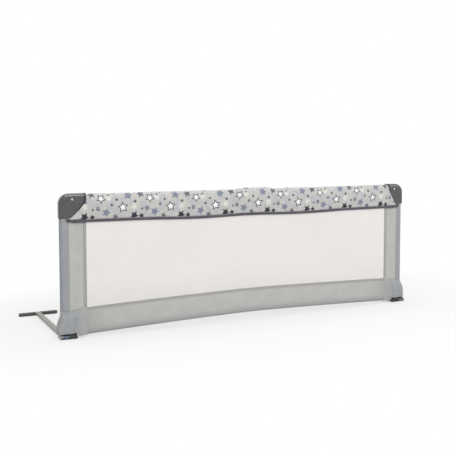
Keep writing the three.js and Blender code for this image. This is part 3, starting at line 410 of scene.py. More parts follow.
# Painted shade: the piping's ends, where they turn up under the brackets.
PIPING_END_SHADE = moulded("piping_end_painted_shade", "#3B3A38", "#434240", 0.5)
BLACK_PLASTIC = moulded("black_abs", "#1E1F21", "#2A2B2D", 0.34, coat=0.2)
CAP_X = UPRIGHT_X + 9.5  # where the grey cap at a hinge base's outer end starts
BASE_EAR = ("#6B6A67", CAP_X)
BASE_PLASTIC = moulded("hinge_base_abs", "#1E1F21", "#2A2B2D", 0.34, coat=0.2, ear=BASE_EAR)
CROSSBAR_PLASTIC = moulded("crossbar_polypropylene", "#464643", "#50504D", 0.55)
FRAME_PAINT = powder_coat("frame_powder_coat", "#A6A7A5", "#9FA09E")
LEG_PAINT = powder_coat("leg_powder_coat", "#88887F", "#7D7D76")
ZINC = zinc_steel("zinc_plated_steel", "#AEB4B9", "#CDD1D4", 0.3)
LUG_ZINC = zinc_steel("lug_zinc", "#323942", "#6D7884", 0.42)
GREY_THREAD = sewing_thread("grey_thread", "#8E9092")


# Mesh making

def to_frame(point):
    return (point[0] * MM, (point[1] + TUBE_PLANE) * MM, point[2] * MM)


def smooth(mesh, crease):
    """Shades a mesh smooth between the edges that turn by more than crease, in degrees."""
    mesh.shade_smooth()
    mesh.set_sharp_from_angle(angle=math.radians(crease))


def object_of(name, points, faces, material, uv=None, crease=40):
    """A mesh object from points in millimetres. uv gives each point's place on its cloth."""
    mesh = bpy.data.meshes.new(name)
    mesh.from_pydata([to_frame(p) for p in points], [], faces)
    if uv is not None:
        layer = mesh.uv_layers.new(name="cloth")
        for loop in mesh.loops:
            layer.data[loop.index].uv = uv[loop.vertex_index]
    mesh.materials.append(material)
    smooth(mesh, crease)
    return new_object(name, mesh)


def outward(made):
    """Turns the faces of a closed mesh outwards."""
    shape = bmesh.new()
    shape.from_mesh(made.data)
    bmesh.ops.recalc_face_normals(shape, faces=shape.faces)
    if shape.calc_volume(signed=True) < 0:
        bmesh.ops.reverse_faces(shape, faces=shape.faces)
    shape.to_mesh(made.data)
    shape.free()
    return made


def weld(made, reach=0.01):
    """Joins the points of a closed mesh that lie within reach, in millimetres."""
    shape = bmesh.new()
    shape.from_mesh(made.data)
    bmesh.ops.remove_doubles(shape, verts=shape.verts, dist=reach * MM)
    shape.to_mesh(made.data)
    shape.free()
    return outward(made)


def settle(made):
    """Applies the modifiers of an object, so that a plain mesh stays."""
    graph = bpy.context.evaluated_depsgraph_get()
    mesh = bpy.data.meshes.new_from_object(made.evaluated_get(graph), depsgraph=graph)
    made.modifiers.clear()
    made.data = mesh
    return made


def applied(made, kind, **settings):
    """Adds a modifier with its settings, and applies it."""
    modifier = made.modifiers.new(kind.lower(), kind)
    for name, value in settings.items():
        setattr(modifier, name, value)
    return settle(made)


def cut(made, operation, *tools):
    """Cuts the tools out of a closed mesh, or keeps what it shares with them, and removes them."""
    for tool in tools:
        applied(made, "BOOLEAN", object=tool, operation=operation, solver="EXACT")
        bpy.data.objects.remove(tool)
    return made


def grid_of(name, rows, material, crease=40, caps=()):
    """A mesh through rows of points, each of which comes with its place on the cloth."""
    wide = len(rows[0])
    faces = []
    for i in range(len(rows) - 1):
        for k in range(i * wide, (i + 1) * wide - 1):
            faces.append((k, k + 1, k + wide + 1, k + wide))
    points, uv = zip(*[pair for row in rows for pair in row])
    return object_of(name, points, [*faces, *caps], material, uv, crease)


def prism(name, outline, y0, y1, material):
    """An outline in X and Z given depth in Y."""
    count = len(outline)
    points = [(x, y, z) for y in (y0, y1) for x, z in outline]
    sides = [(i, (i + 1) % count, count + (i + 1) % count, count + i) for i in range(count)]
    faces = [tuple(range(count)), tuple(reversed(range(count, 2 * count))), *sides]
    return outward(object_of(name, points, faces, material))


def rod(name, start, end, radius, material, sides=32):
    """A round bar between two points."""
    start, end = Vector(start), Vector(end)
    along = (end - start).normalized()
    across = along.orthogonal().normalized()
    third = along.cross(across)
    rings = []
    for centre in (start, end):
        for i in range(sides):
            turn = 2 * math.pi * i / sides
            rings.append(tuple(centre + radius * (math.cos(turn) * across + math.sin(turn) * third)))
    faces = [(i, (i + 1) % sides, sides + (i + 1) % sides, sides + i) for i in range(sides)]
    faces += [tuple(reversed(range(sides))), tuple(range(sides, 2 * sides))]
    return outward(object_of(name, rings, faces, material))


def tube_of(name, rows, material, crease=60, reach=0.01):
    """A closed mesh through rings of points, each of which ends on its first point again."""
    wide, count = len(rows[0]), len(rows) * len(rows[0])
    caps = [tuple(range(wide - 1)), tuple(reversed(range(count - wide, count - 1)))]
    return weld(grid_of(name, rows, material, crease, caps), reach)


def girth(ring):
    """Distance run along a ring of points up to each point."""
    run = [0.0]
    for a, b in zip(ring, ring[1:]):
        run.append(run[-1] + (Vector(b) - Vector(a)).length)
    return run


def tube_along(name, path, radius, sides, material):
    """A round piece along a path of points. radius is a number, or a function of place and turn."""
    path = [Vector(p) for p in path]
    run = girth(path)
    across = None
    rows = []
    for i, centre in enumerate(path):
        along = (path[min(i + 1, len(path) - 1)] - path[max(i - 1, 0)]).normalized()
        across = across or along.orthogonal()
        across = (across - along * across.dot(along)).normalized()
        third = along.cross(across)
        row = []
        for j in range(sides + 1):
            turn = 2 * math.pi * j / sides
            reach = radius(run[i], turn) if callable(radius) else radius
            point = centre + reach * (math.cos(turn) * across + math.sin(turn) * third)
            row.append((point, (run[i], turn * 3)))
        rows.append(row)
    return tube_of(name, rows, material)


def spaced(low, high, count):
    """Values from low up to high, in count equal steps."""
    return [low + (high - low) * i / count for i in range(count + 1)]


def ease(value, low, high):
    """0 up to low and 1 from high on, with a soft rise between them."""
    share = min(max((value - low) / (high - low), 0), 1)
    return share * share * (3 - 2 * share)


def mix(a, b, share):
    return a + (b - a) * share


def ripple(x, y, size, seed=0):
    """Smooth unevenness between -1 and 1 whose patches are about the given size across."""
    return noise.noise(Vector((x / size, y / size, seed * 7.3)))


def finish(made, slot, *nodes, body="guard"):
    """Says which body a piece rides on and the CAD nodes that it stands for; the slot is not used."""
    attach(made, body)
    if nodes:
        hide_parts(*nodes)
    return made


SIDES = {"left": -1, "right": 1}


def at_side(sign, x):
    """X in the frame of a distance from the upright's axis towards the middle."""
    return sign * (UPRIGHT_X - x)


# Lines of the rail, as heights at a place along it

COVER_HEIGHT = 83.7  # from the top of the brackets down to the cover's lower edge, in the middle
BAND_TOP = 106.3  # in the middle, as is the next height
BAND_LOW = 20.3


def lower_edge(x):
    """Lower edge of the padded cover: it lifts a little towards the ends and sags beside the joiner."""
    lift = 2 * (x / WINDOW_HALF) ** 2
    sag = 3.6 * math.sin(math.pi * min(abs(x) / 400, 1)) ** 2
    return TOP_Z - COVER_HEIGHT + lift - sag


def cover_foot(x):
    """Seam behind the cover's lower edge, where the netting, the hems and the strips are sewn in."""
    return lower_edge(x) + 6


def bow(x):
    """Curve of the band's edges: 0 in the middle of the rail, and 1 at the window's ends."""
    return abs(x / WINDOW_HALF) ** 1.45


def band_top(x):
    return BAND_TOP - 12.3 * bow(x)


def band_bottom(x):
    return BAND_LOW - 14 * bow(x)


def pocket_top(x):
    """Top seam of a corner pocket, by the distance from the upright's axis: it slants down outwards."""
    return POCKET_TOP - 8 * (1 - ease(x, 8, HEM_END))


def rail_height(x):
    """Height of the bottom rail, which is bowed up in the middle."""
    return FOLDING_Z + 13.5 + 6 * math.cos(min(abs(x) / 598, 1) * math.pi / 2) ** 2


# Padded cover of the top tube

COVER_END = UPRIGHT_X - SLEEVE_SEAM - GAP
COVER_CORNER = 2.1
COVER_ROUND = 15.5  # radius over the tube
JOINER_SWELL = 4
FLAP = 3.4  # thickness of the part that hangs in front of the netting
FLAP_REAR = -SLEEVE - GAP


def cover_radius(x):
    """The cover swells over the joiner of the two half tubes."""
    return COVER_ROUND + JOINER_SWELL * (1 - ease(abs(x - JOINER_X), JOINER_HALF, JOINER_HALF + 34))


def cover_ring(x):
    """Outline of the cover at one place: up its front, over the tube, and down behind to the sewn foot."""
    radius = cover_radius(x)
    past = max(abs(x) - (COVER_END - COVER_CORNER), 0)
    edge = lower_edge(x) + COVER_CORNER - math.sqrt(max(COVER_CORNER**2 - past**2, 0))
    foot = max(cover_foot(x), edge + 2 * GAP)
    start = Vector((FLAP_REAR - FLAP, edge + FLAP / 2))
    ring = [(FLAP_REAR - FLAP * 0.8, edge + 0.4), tuple(start)]
    for share in spaced(0, 1, 14)[1:-1]:
        y = mix(start.x, -radius, share) - math.sin(share * math.pi) * 1.0
        ring.append((y, mix(start.y, TOP_AXIS_Z, share)))
    for turn in spaced(math.pi, -0.45, 14):
        ring.append((radius * math.cos(turn), TOP_AXIS_Z + radius * math.sin(turn)))
    rear = Vector(ring[-1])
    for share in spaced(0, 1, 12)[1:]:
        ring.append(tuple(rear.lerp(Vector((FLAP_REAR + 6, foot)), share)))
    ring += [(FLAP_REAR + 3, foot), (FLAP_REAR, foot)]
    ring += [(FLAP_REAR, edge + 1.2), (FLAP_REAR - FLAP * 0.3, edge)]
    return [(x, y, z) for y, z in ring]


def inflate(made, held, pressure, cap):
    """Blows a closed cloth form up by simulation; held gives the share by which each point stays put."""
    group = made.vertex_groups.new(name="held")
    for index, share in enumerate(held):
        if share > 0:
            group.add([index], share, "REPLACE")
    before = [v.co.copy() for v in made.data.vertices]
    modifier = made.modifiers.new("cloth", "CLOTH")
    settings = modifier.settings
    settings.quality = 5
    settings.mass = 0.3
    settings.tension_stiffness = 20
    settings.compression_stiffness = 20
    settings.shear_stiffness = 8
    settings.bending_stiffness = 1.5
    settings.shrink_min = -0.03
    settings.use_pressure = True
    settings.uniform_pressure_force = pressure
    settings.vertex_group_mass = "held"
    settings.effector_weights.gravity = 0
    modifier.collision_settings.use_collision = False
    steps = 20
    modifier.point_cache.frame_start = 1
    modifier.point_cache.frame_end = steps
    for step in range(1, steps + 1):
        bpy.context.scene.frame_set(step)
    settle(made)
    bpy.context.scene.frame_set(1)
    made.vertex_groups.clear()
    for vertex, old in zip(made.data.vertices, before):
        moved = vertex.co - old
        if moved.length > cap * MM:
            vertex.co = old + moved.normalized() * cap * MM


def padded_cover():
    """Printed cover, swollen by its padding, with room for the tubes and the brackets."""
    rows = []
    for x in spaced(-COVER_END, COVER_END, 250):
        ring = cover_ring(x)
        ring.append(ring[0])
        rows.append([(point, (x, run)) for point, run in zip(ring, girth(ring))])
    made = tube_of("quilted_cover", rows, PRINT, crease=40, reach=0.02)
    held = []
    for vertex in made.data.vertices:
        x, z = vertex.co.x / MM, vertex.co.z / MM
        seam = 1 - ease(z - lower_edge(x), 7, 18)
        end = 1 - ease(COVER_END - abs(x), 8, 25)
        over_tube = 0.25 * ease(z, TOP_AXIS_Z - 10, TOP_AXIS_Z)
        held.append(max(seam, end, over_tube))
    inflate(made, held, pressure=4, cap=2.6)
    pucker(made)
    applied(made, "SUBSURF", levels=1, render_levels=1)
    tools = []
    for name, centre, half, radius in (
        ("bore", 0, UPRIGHT_X, TUBE + 0.2),
        ("joiner_bore", JOINER_X, JOINER_HALF + 1, TUBE + 4.1),
    ):
        ends = [(x, 0, TOP_AXIS_Z) for x in (centre - half, centre + half)]
        tools.append(rod(name, *ends, radius, PRINT))
    for side, sign in SIDES.items():
        grown = []
        for x, z in bracket_outline(side, BRACKET_OUTER - 10, above=12):
            room = mix(0.5, 3.0, ease(z, TOP_Z - SHADE_STRIP_DEPTH, TOP_Z - ARM_DEPTH))
            grown.append((at_side(sign, x + room), z - 0.5))
        tools.append(prism("clearance", grown, -PAST, PAST, PRINT))
    cut(made, "DIFFERENCE", *tools)
    finish(made, "printed_cloth", "padded_cover")
    return made


def pucker(made):
    """Puckers where the cover is sewn to its piping, and slack over the tube."""
    for vertex in made.data.vertices:
        x, z = vertex.co.x / MM, vertex.co.z / MM
        low = z - lower_edge(x)
        seam = (1 - ease(low, 4, 30)) * ease(low, 1, 5)
        fine = math.sin(x / 1.9 + 2 * ripple(x, 0, 30, 1)) * 0.25 * seam
        slack = ripple(x, z, 46, 2) * 0.9 * ease(low, 4, 20)
        slope = ripple(x + z * 0.6, z * 0.4, 19, 3) * 0.45 * ease(low, 4, 20)
        vertex.co += vertex.normal * (fine + slack + slope - 0.4 * seam) * MM


# Piping

PIPE = 3.6  # radius of the piping


def piping_path():
    """Along the cover's lower edge, with both ends turned up under the brackets."""
    start = -UPRIGHT_X + SLEEVE_SEAM - PIPE
    corner = 6
    y = -SLEEVE - GAP - PIPE
    left = [(start, TOP_Z - BRACKET_FOOT - GAP - PIPE / 2)]
    low = lower_edge(start + corner) - GAP - PIPE
    for turn in spaced(0, math.pi / 2, 8):
        left.append((start + corner * (1 - math.cos(turn)), low + corner * (1 - math.sin(turn))))
    places = spaced(start + corner, -start - corner, 360)[1:-1]
    between = [(x, lower_edge(x) - GAP - PIPE) for x in places]
    right = [(-x, z) for x, z in reversed(left)]
    return [(x, y, z) for x, z in left + between + right]


def cover_piping():
    """Piping with the ripples of its sewing, and painted shade on its ends where they turn up under the
    brackets.
    """

    def swell(run, turn):
        return PIPE - 0.12 + 0.12 * math.sin(run / 1.6 + turn) + 0.1 * ripple(run, turn * 4, 9, 5)

    made = tube_along("piping_cord", piping_path(), swell, 14, PIPING)
    # Painted shade: the ends turned up under the brackets take the darker material.
    made.data.materials.append(PIPING_END_SHADE)
    for face in made.data.polygons:
        if abs(face.center.x) / MM > UPRIGHT_X - SLEEVE_SEAM - 6:
            face.material_index = 1
    for vertex in made.data.vertices:
        x = vertex.co.x / MM
        flat = 1 - ease(abs(x), COVER_END - 16, COVER_END - 6)
        over = vertex.co.z / MM - (lower_edge(x) - GAP - PIPE)
        vertex.co.z += (0.28 * over - 0.8) * flat * MM
    return finish(made, "piping_cloth", "cover_piping")


# Netting, its hems and the side strips

def mesh_window():
    """Netting, taut between the cover, the hems and the band, with slight waves."""
    end = WINDOW_HALF - GAP
    rows = []
    for x in spaced(-end, end, 120):
        low, high = band_top(x) + GAP, cover_foot(x) - GAP
        edge = 1 - abs(x / end) ** 6
        row = []
        for share in spaced(0, 1, 36):
            z = mix(low, high, share)
            hold = math.sin(math.pi * share) * edge
            wave = 1.2 * ripple(x, z, 170, 8) + 0.35 * ripple(x, z * 0.4, 40, 9)
            row.append(((x, -SLEEVE + 0.3 + wave * hold, z), (x, z)))
        rows.append(row)
    made = grid_of("net_window", rows, NET)
    finish(made, "netting", "mesh_window")
    return made


def face_to(made, facing=None):
    """Turns an open sheet so that its faces look along facing, or away from its middle."""
    polygons = made.data.polygons
    centre = sum((f.center * f.area for f in polygons), Vector()) / sum(f.area for f in polygons)
    total = sum(f.area * f.normal.dot(facing or (f.center - centre)) for f in polygons)
    if total < 0:
        made.data.flip_normals()
    return made


def sheet_of(name, rows, material, thick, facing=None):
    """A cloth piece from rows of points, with its thickness behind it."""
    made = face_to(grid_of(name, rows, material, crease=70), facing)
    return applied(made, "SOLIDIFY", thickness=thick * MM, offset=-1)


def side_strip(side, sign):
    """Flat woven strip between the sleeve's seam and the hem of the netting."""
    rows = []
    for share in spaced(0, 1, 90):
        row = []
        for x in spaced(SLEEVE_SEAM + GAP, STRIP_END, 22):
            top = cover_foot(UPRIGHT_X - x) - GAP
            z = mix(pocket_top(x) + GAP, top, share)
            across = (x - SLEEVE_SEAM) / (STRIP_END - SLEEVE_SEAM)
            hold = math.sin(math.pi * across) * math.sin(math.pi * min(share * 1.02, 1))
            dent = 0.6 * (0.5 + 0.5 * ripple(x * 0.5, z, 24, 11 + sign))
            dent += 0.5 * (0.5 + 0.5 * ripple(x, z, 60, 12))
            dent += 0.42 * (1 + math.sin(z / 1.9 + 2 * ripple(x, z, 50, 14)))
            row.append(((at_side(sign, x), -SLEEVE + dent * hold, z), (x, z)))
        rows.append(row)
    made = sheet_of(f"woven_strip_{side}", rows, STRIP_CLOTH, thick=0.7, facing=Vector((0, -1, 0)))
    finish(made, "strip_cloth", f"side_strip_{side}")
    return made


def window_hem(side, sign):
    """Folded binding along the netting's edge."""
    rows = []
    middle_x = (STRIP_END + GAP + HEM_END) / 2
    half = (HEM_END - STRIP_END - GAP) / 2
    top = cover_foot(WINDOW_HALF) - GAP
    for share in spaced(0, 1, 110):
        z = mix(POCKET_TOP + GAP, top, share)
        swell = 0.82 + 0.08 * math.sin(z / 1.5) + 0.06 * ripple(0, z, 12, 13 + sign)
        row = []
        for j, turn in enumerate(spaced(0, 2 * math.pi, 20)):
            x = middle_x + half * math.copysign(abs(math.cos(turn)) ** 0.5, math.cos(turn))
            y = swell * math.copysign(abs(math.sin(turn)) ** 0.6, math.sin(turn))
            row.append(((at_side(sign, x), -SLEEVE + 0.9 + y, z), (j * 1.2, z)))
        rows.append(row)
    made = tube_of(f"folded_hem_{side}", rows, HEM_CLOTH)
    finish(made, "hem_cloth", f"window_hem_{side}")
    return made


def sleeve_section():
    """Outline of a sleeve from its front seam round the upright to the seam again, seen from above."""
    touch = 2 * math.atan2(-SLEEVE, SLEEVE_SEAM) + math.pi / 2
    section = [(x, -SLEEVE) for x in spaced(SLEEVE_SEAM, 0, 8)]
    for turn in spaced(-math.pi / 2, touch - 2 * math.pi, 34)[1:]:
        section.append((SLEEVE * math.cos(turn), SLEEVE * math.sin(turn)))
    end = (SLEEVE_SEAM, SEWN)
    last = section[-1]
    section += [(mix(last[0], end[0], s), mix(last[1], end[1], s)) for s in spaced(0, 1, 10)[1:]]
    return section


def upright_sleeve(side, sign):
    """Sleeve of plain cloth drawn over the upright, slightly slack."""
    section = sleeve_section()
    run = girth([(x, y, 0) for x, y in section])
    rows = []
    for z in spaced(pocket_top(0) + GAP, TOP_Z - BRACKET_FOOT - GAP, 110):
        row = []
        for (x, y), place in zip(section, run):
            hold = math.sin(math.pi * place / run[-1])
            slack = 0.35 * (1 + ripple(place * 1.6, z * 0.35, 22, 20 + sign)) * hold
            slack += 0.25 * (1 + ripple(place, z, 9, 22)) * hold * (0.4 + 0.6 * abs(ripple(0, z, 60, 23)))
            out = Vector((x, y)).normalized() * slack
            row.append(((at_side(sign, x + out.x), y + min(out.y, 0.6), z), (place, z)))
        rows.append(row)
    made = sheet_of(f"tube_sleeve_{side}", rows, SLEEVE_CLOTH, thick=0.7)
    finish(made, "sleeve_cloth", f"upright_sleeve_{side}")
    return made


# Bottom band

BAND_ROUND = 10.8  # radius of the fold round the bottom rail
BAND_SEAM = 8  # height of the stitched hem


def band_section(x):
    """From the sewn top down the front, round the lower fold and up the rear; with shares for wrinkles."""
    top, centre = band_top(x), band_bottom(x) + BAND_ROUND
    section = []
    for share in spaced(1, 0, 26):
        crown = 1.6 * math.sin(share * math.pi)
        section.append((-SLEEVE - crown, mix(centre, top, share), math.sin(math.pi * share) ** 0.7))
    for turn in spaced(math.pi, 2 * math.pi, 14)[1:]:
        y = BAND_ROUND - SLEEVE + BAND_ROUND * math.cos(turn)
        section.append((y, centre + BAND_ROUND * math.sin(turn), 0.15))
    full = rail_height(x) + 2
    for share in spaced(0, 1, 22)[1:]:
        y = mix(2 * BAND_ROUND - SLEEVE, SEWN, share)
        section.append((y, mix(full, top, share), math.sin(math.pi * share)))
    return section


def bottom_band():
    """Band of plain cloth that hangs round the bottom rail, with a stitched hem along its top."""
    end = WINDOW_HALF + 3
    rows = []
    for x in spaced(-end, end, 260):
        near_end = ease(abs(x), end - 110, end)
        tuck = 1.3 * ease(abs(x), WINDOW_HALF - 6, WINDOW_HALF)
        row, last, run = [], None, 0
        for y, z, loose in band_section(x):
            wave = 0.9 * ripple(x, z, 120, 30) + 0.35 * ripple(x + z, z * 0.5, 34, 31)
            wave += near_end * 0.7 * math.sin(x / 6 + ripple(x, z, 30, 32))
            depth = wave * loose if y < 0 else -wave * loose
            hem = band_top(x) - z
            fold = 0.45 if y < -SLEEVE + 0.6 and hem < BAND_SEAM else 0
            point = (x, y - depth - fold + (tuck if y < 0 else -tuck), z)
            if last:
                run += (Vector(point) - Vector(last)).length
            row.append((point, (x, run)))
            last = point
        rows.append(row)
    made = sheet_of("cloth_band", rows, BAND_CLOTH, thick=0.6)
    finish(made, "band_cloth", "bottom_band")
    return made


# Corner pockets round the hinge housings

POCKET_FRONT = 19.1  # from an upright's axis to the cloth in front of the housing, and behind it
POCKET_REAR = 17.5
BULGE = 10  # centre of the pocket's round outer end, past the upright's axis
ARM_X = 36.6  # end of the hinge block, from the upright's axis


def pocket_row(share):
    """Points round the pocket at one height, from its front seam round the outer side to its rear seam."""
    bulge = BULGE * (1 - ease(share, 0.3, 0.9))
    full = 1 - ease(share, 0.62, 1)
    front = mix(SLEEVE, POCKET_FRONT, full)
    rear = mix(SLEEVE, POCKET_REAR, full)
    end_low = band_bottom(WINDOW_HALF)

    def height(x):
        return mix(mix(FOLDING_Z, end_low, ease(x, ARM_X, ARM_X + 6)), pocket_top(x), share)

    fold_top = end_low + BAND_ROUND
    above = min(max((height(HEM_END) - fold_top) / (POCKET_TOP - fold_top), 0), 1)
    band_rear = mix(BAND_ROUND * 2 - SLEEVE, SEWN, above)
    sides = spaced(HEM_END, -bulge, 44)
    points = [(x, -mix(front, SLEEVE, ease(x, ARM_X, HEM_END))) for x in sides]
    power = mix(1, 0.45, full)
    for turn in spaced(-math.pi / 2, -math.pi * 1.5, 26)[1:-1]:
        squared = [math.copysign(abs(v) ** power, v) for v in (math.cos(turn), math.sin(turn))]
        points.append((-bulge + SLEEVE * squared[0], (rear - front) / 2 + (front + rear) / 2 * squared[1]))
    for x in reversed(sides):
        thin = mix(rear, SEWN, ease(x, 0, SLEEVE_SEAM))
        wide = mix(rear, band_rear, ease(x, ARM_X, HEM_END))
        points.append((x, mix(thin, wide, full)))
    return [(x, y, height(x)) for x, y in points]


def corner_pocket(side, sign):
    """Pocket of plain cloth sewn on over the housing; it falls in soft upright folds from its seam."""
    rows = [pocket_row(share) for share in spaced(0, 1, 48)]
    count = len(rows[0])
    base_run = girth(rows[16])  # places round the pocket, on a row that is still full
    total = base_run[-1]
    moved = []
    for i, row in enumerate(rows):
        share = i / (len(rows) - 1)
        loose = ease(share, 0, 0.12) * 0.5 + 0.5
        loose *= 1 - ease(share, 0.75, 0.98)
        line = []
        for j, (x, y, z) in enumerate(row):
            before, after = Vector(row[max(j - 1, 0)]), Vector(row[min(j + 1, count - 1)])
            along = (after - before).normalized()
            out = Vector((along.y, -along.x, 0)).normalized()
            place = base_run[j]
            ends = ease(place, 0, 14) * (1 - ease(place, total - 14, total))
            wander = 2.6 * ripple(place, z * 0.5, 34, 40 + sign)
            crease = 1 - abs(math.sin(place / 6.4 + z / 34 + wander))
            broad = ripple(place, z * 0.8, 22, 41 + sign)
            depth = max(min(0.5 - 1.3 * crease**1.3 - 0.5 * broad, 0.5), -0.75) * loose * ends
            spot = Vector((x, y, z)) - out * depth
            spot.z += 0.5 * math.sin(place / 5.2) * (1 - ease(share, 0, 0.3)) + 0.4 * (1 - share)
            line.append(((at_side(sign, spot.x), spot.y, spot.z), (place, z)))
        moved.append(line)
    made = sheet_of(f"corner_cloth_{side}", moved, POCKET_CLOTH, thick=0.9)
    finish(made, "sleeve_cloth", f"corner_pocket_{side}")
    return made


# Corner brackets

# Length of the brackets' arms that shows; on the right the cover is drawn over the end of the arm
BRACKET_ARM = {"left": 82, "right": 66}
BRACKET_CORNER = 33
ARM_STEPS = 16
FOOT_WIDTH = 34
TUBE_END = 5.7  # outer end of the top tube's seat, from the upright's axis
BEYOND = 100  # past the arm, from the upright's axis


def outer_corner(outer, top, steps):
    """Points round the bracket's outer corner, from its side up to its top."""
    radius = BRACKET_CORNER
    turns = spaced(math.pi, math.pi / 2, steps)
    return [(outer + radius + radius * math.cos(t), top - radius + radius * math.sin(t)) for t in turns]


def bracket_outline(side, outer, above=0.0):
    """Outline of the corner bracket from the upright's axis. A cutting tool stands out on the outer side."""
    arm = BRACKET_OUTER + BRACKET_ARM[side]
    low, high = TOP_Z - BRACKET_FOOT, TOP_Z + above
    points = [(outer, low), *outer_corner(outer, high, 12), (arm, high)]
    start, end = Vector((arm, TOP_Z - ARM_DEPTH)), Vector((BRACKET_OUTER + FOOT_WIDTH, low))
    bend = Vector((BRACKET_OUTER + BRACKET_ARM[side] * 0.805, low + BRACKET_FOOT * 0.316))
    for share in spaced(0, 1, ARM_STEPS):
        points.append(tuple(start.lerp(bend, share).lerp(bend.lerp(end, share), share)))
    return points


def rounded_plate(name, outline, half, edge, segments, material):
    """An outline in X and Z given depth to both sides, with its front and rear edges rounded."""
    made = prism(name, outline, -half, half, material)
    sharp = {"limit_method": "ANGLE", "angle_limit": math.radians(50)}
    return applied(made, "BEVEL", width=edge * MM, segments=segments, **sharp)


def bracket_hull(sign, half, material):
    """Wide form with the bracket's outer side and top, rounded like the tubes inside."""
    low = TOP_Z - BRACKET_FOOT - 20
    outline = [(BRACKET_OUTER, low), *outer_corner(BRACKET_OUTER, TOP_Z, 24), (BEYOND, TOP_Z), (BEYOND, low)]
    placed = [(at_side(sign, x), z) for x, z in outline]
    return rounded_plate("hull", placed, half=half, edge=10.5, segments=12, material=material)


def tube_bore(sign, material):
    """Cutting tool for the seat of the top tube."""
    ends = [(at_side(sign, x), 0, TOP_AXIS_Z) for x in (TUBE_END, BEYOND)]
    return rod("tube_bore", *ends, TUBE, material)


def shade_strip_outline(side, sign):
    """Band of painted shade along the end of the bracket's arm, partly let into its face and partly in front of
    the cover.
    """
    end = bracket_outline(side, BRACKET_OUTER)[-ARM_STEPS - 1 :]
    line = [Vector((end[0][0], TOP_Z + 3)), *[Vector(p) for p in end if p[1] > TOP_Z - SHADE_STRIP_DEPTH]]
    over, beyond = [], []
    for i, point in enumerate(line):
        along = (line[min(i + 1, len(line) - 1)] - line[max(i - 1, 0)]).normalized()
        out = Vector((-along.y, along.x))
        lower = (i / (len(line) - 1)) ** 2
        over.append(point - out * mix(4.6, 0.5, lower))
        beyond.append(point + out * mix(2.6, 0.8, lower))
    return [(at_side(sign, p.x), p.y) for p in [*over, *reversed(beyond)]]


def bracket_shade_strip(side, sign):
    """Dark strip along the end of the bracket's arm: painted shade of the gap where the bracket meets the
    cover.
    """
    made = prism(f"bracket_shade_strip_{side}", shade_strip_outline(side, sign), -BRACKET_HALF, BRACKET_HALF, SHADE_STRIP_PLASTIC)
    cut(made, "INTERSECT", bracket_hull(sign, BRACKET_HALF - 0.2, SHADE_STRIP_PLASTIC))
    cut(made, "DIFFERENCE", tube_bore(sign, SHADE_STRIP_PLASTIC))
    smooth(made.data, 35)
    return finish(made, "bracket_plastic")


def corner_bracket(side, sign):
    """Moulded bracket, round like the tubes on its outer side, with bores for both of them."""
    outline = [(at_side(sign, x), z) for x, z in bracket_outline(side, BRACKET_OUTER - 3, above=3)]
    form = {"half": BRACKET_HALF + 0.02, "edge": 3.2, "segments": 5}
    made = rounded_plate(f"moulded_bracket_{side}", outline, **form, material=BRACKET_PLASTIC)
    cut(made, "INTERSECT", bracket_hull(sign, BRACKET_HALF, BRACKET_PLASTIC))
    snap = middle(f"snap_button_{side}")
    upright = [(sign * UPRIGHT_X, 0, z) for z in (300, TOP_AXIS_Z - TUBE - BRACKET_WALL)]
    cut(
        made,
        "DIFFERENCE",
        rod("upright_bore", *upright, TUBE, BRACKET_PLASTIC),
        tube_bore(sign, BRACKET_PLASTIC),
        rod("button_hole", (snap.x, -PAST, snap.z), (snap.x, 0, snap.z), 3.9, BRACKET_PLASTIC, 24),
        prism("shade_strip_seat", shade_strip_outline(side, sign), -PAST, PAST, BRACKET_PLASTIC),
    )
    smooth(made.data, 35)
    return finish(made, "bracket_plastic", f"corner_bracket_{side}")


# Springs of the release buttons

def release_spring(side):
    """Coil of zinc-plated wire behind a release button, kept at the length of its CAD part; it is not made
    shorter as the button goes in.
    """
    node = f"release_spring_{side}"
    low, high = (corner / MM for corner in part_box(node))
    centre = (low + high) / 2
    wire, turns, steps, travel = 0.4, 4, 24, 4.0
    reach = (high.z - low.z) / 2 - wire
    path = []
    for share in spaced(0, 1, turns * steps):
        turn = 2 * math.pi * turns * share
        y = mix(low.y + wire, high.y - wire, share) - TUBE_PLANE
        path.append((centre.x + reach * math.cos(turn), y, centre.z + reach * math.sin(turn)))
    made = tube_along(f"coil_spring_{side}", path, wire, 8, ZINC)
    finish(made, "zinc_plate", node, body=f"leg_{side}")
    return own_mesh(made)


# Stitches

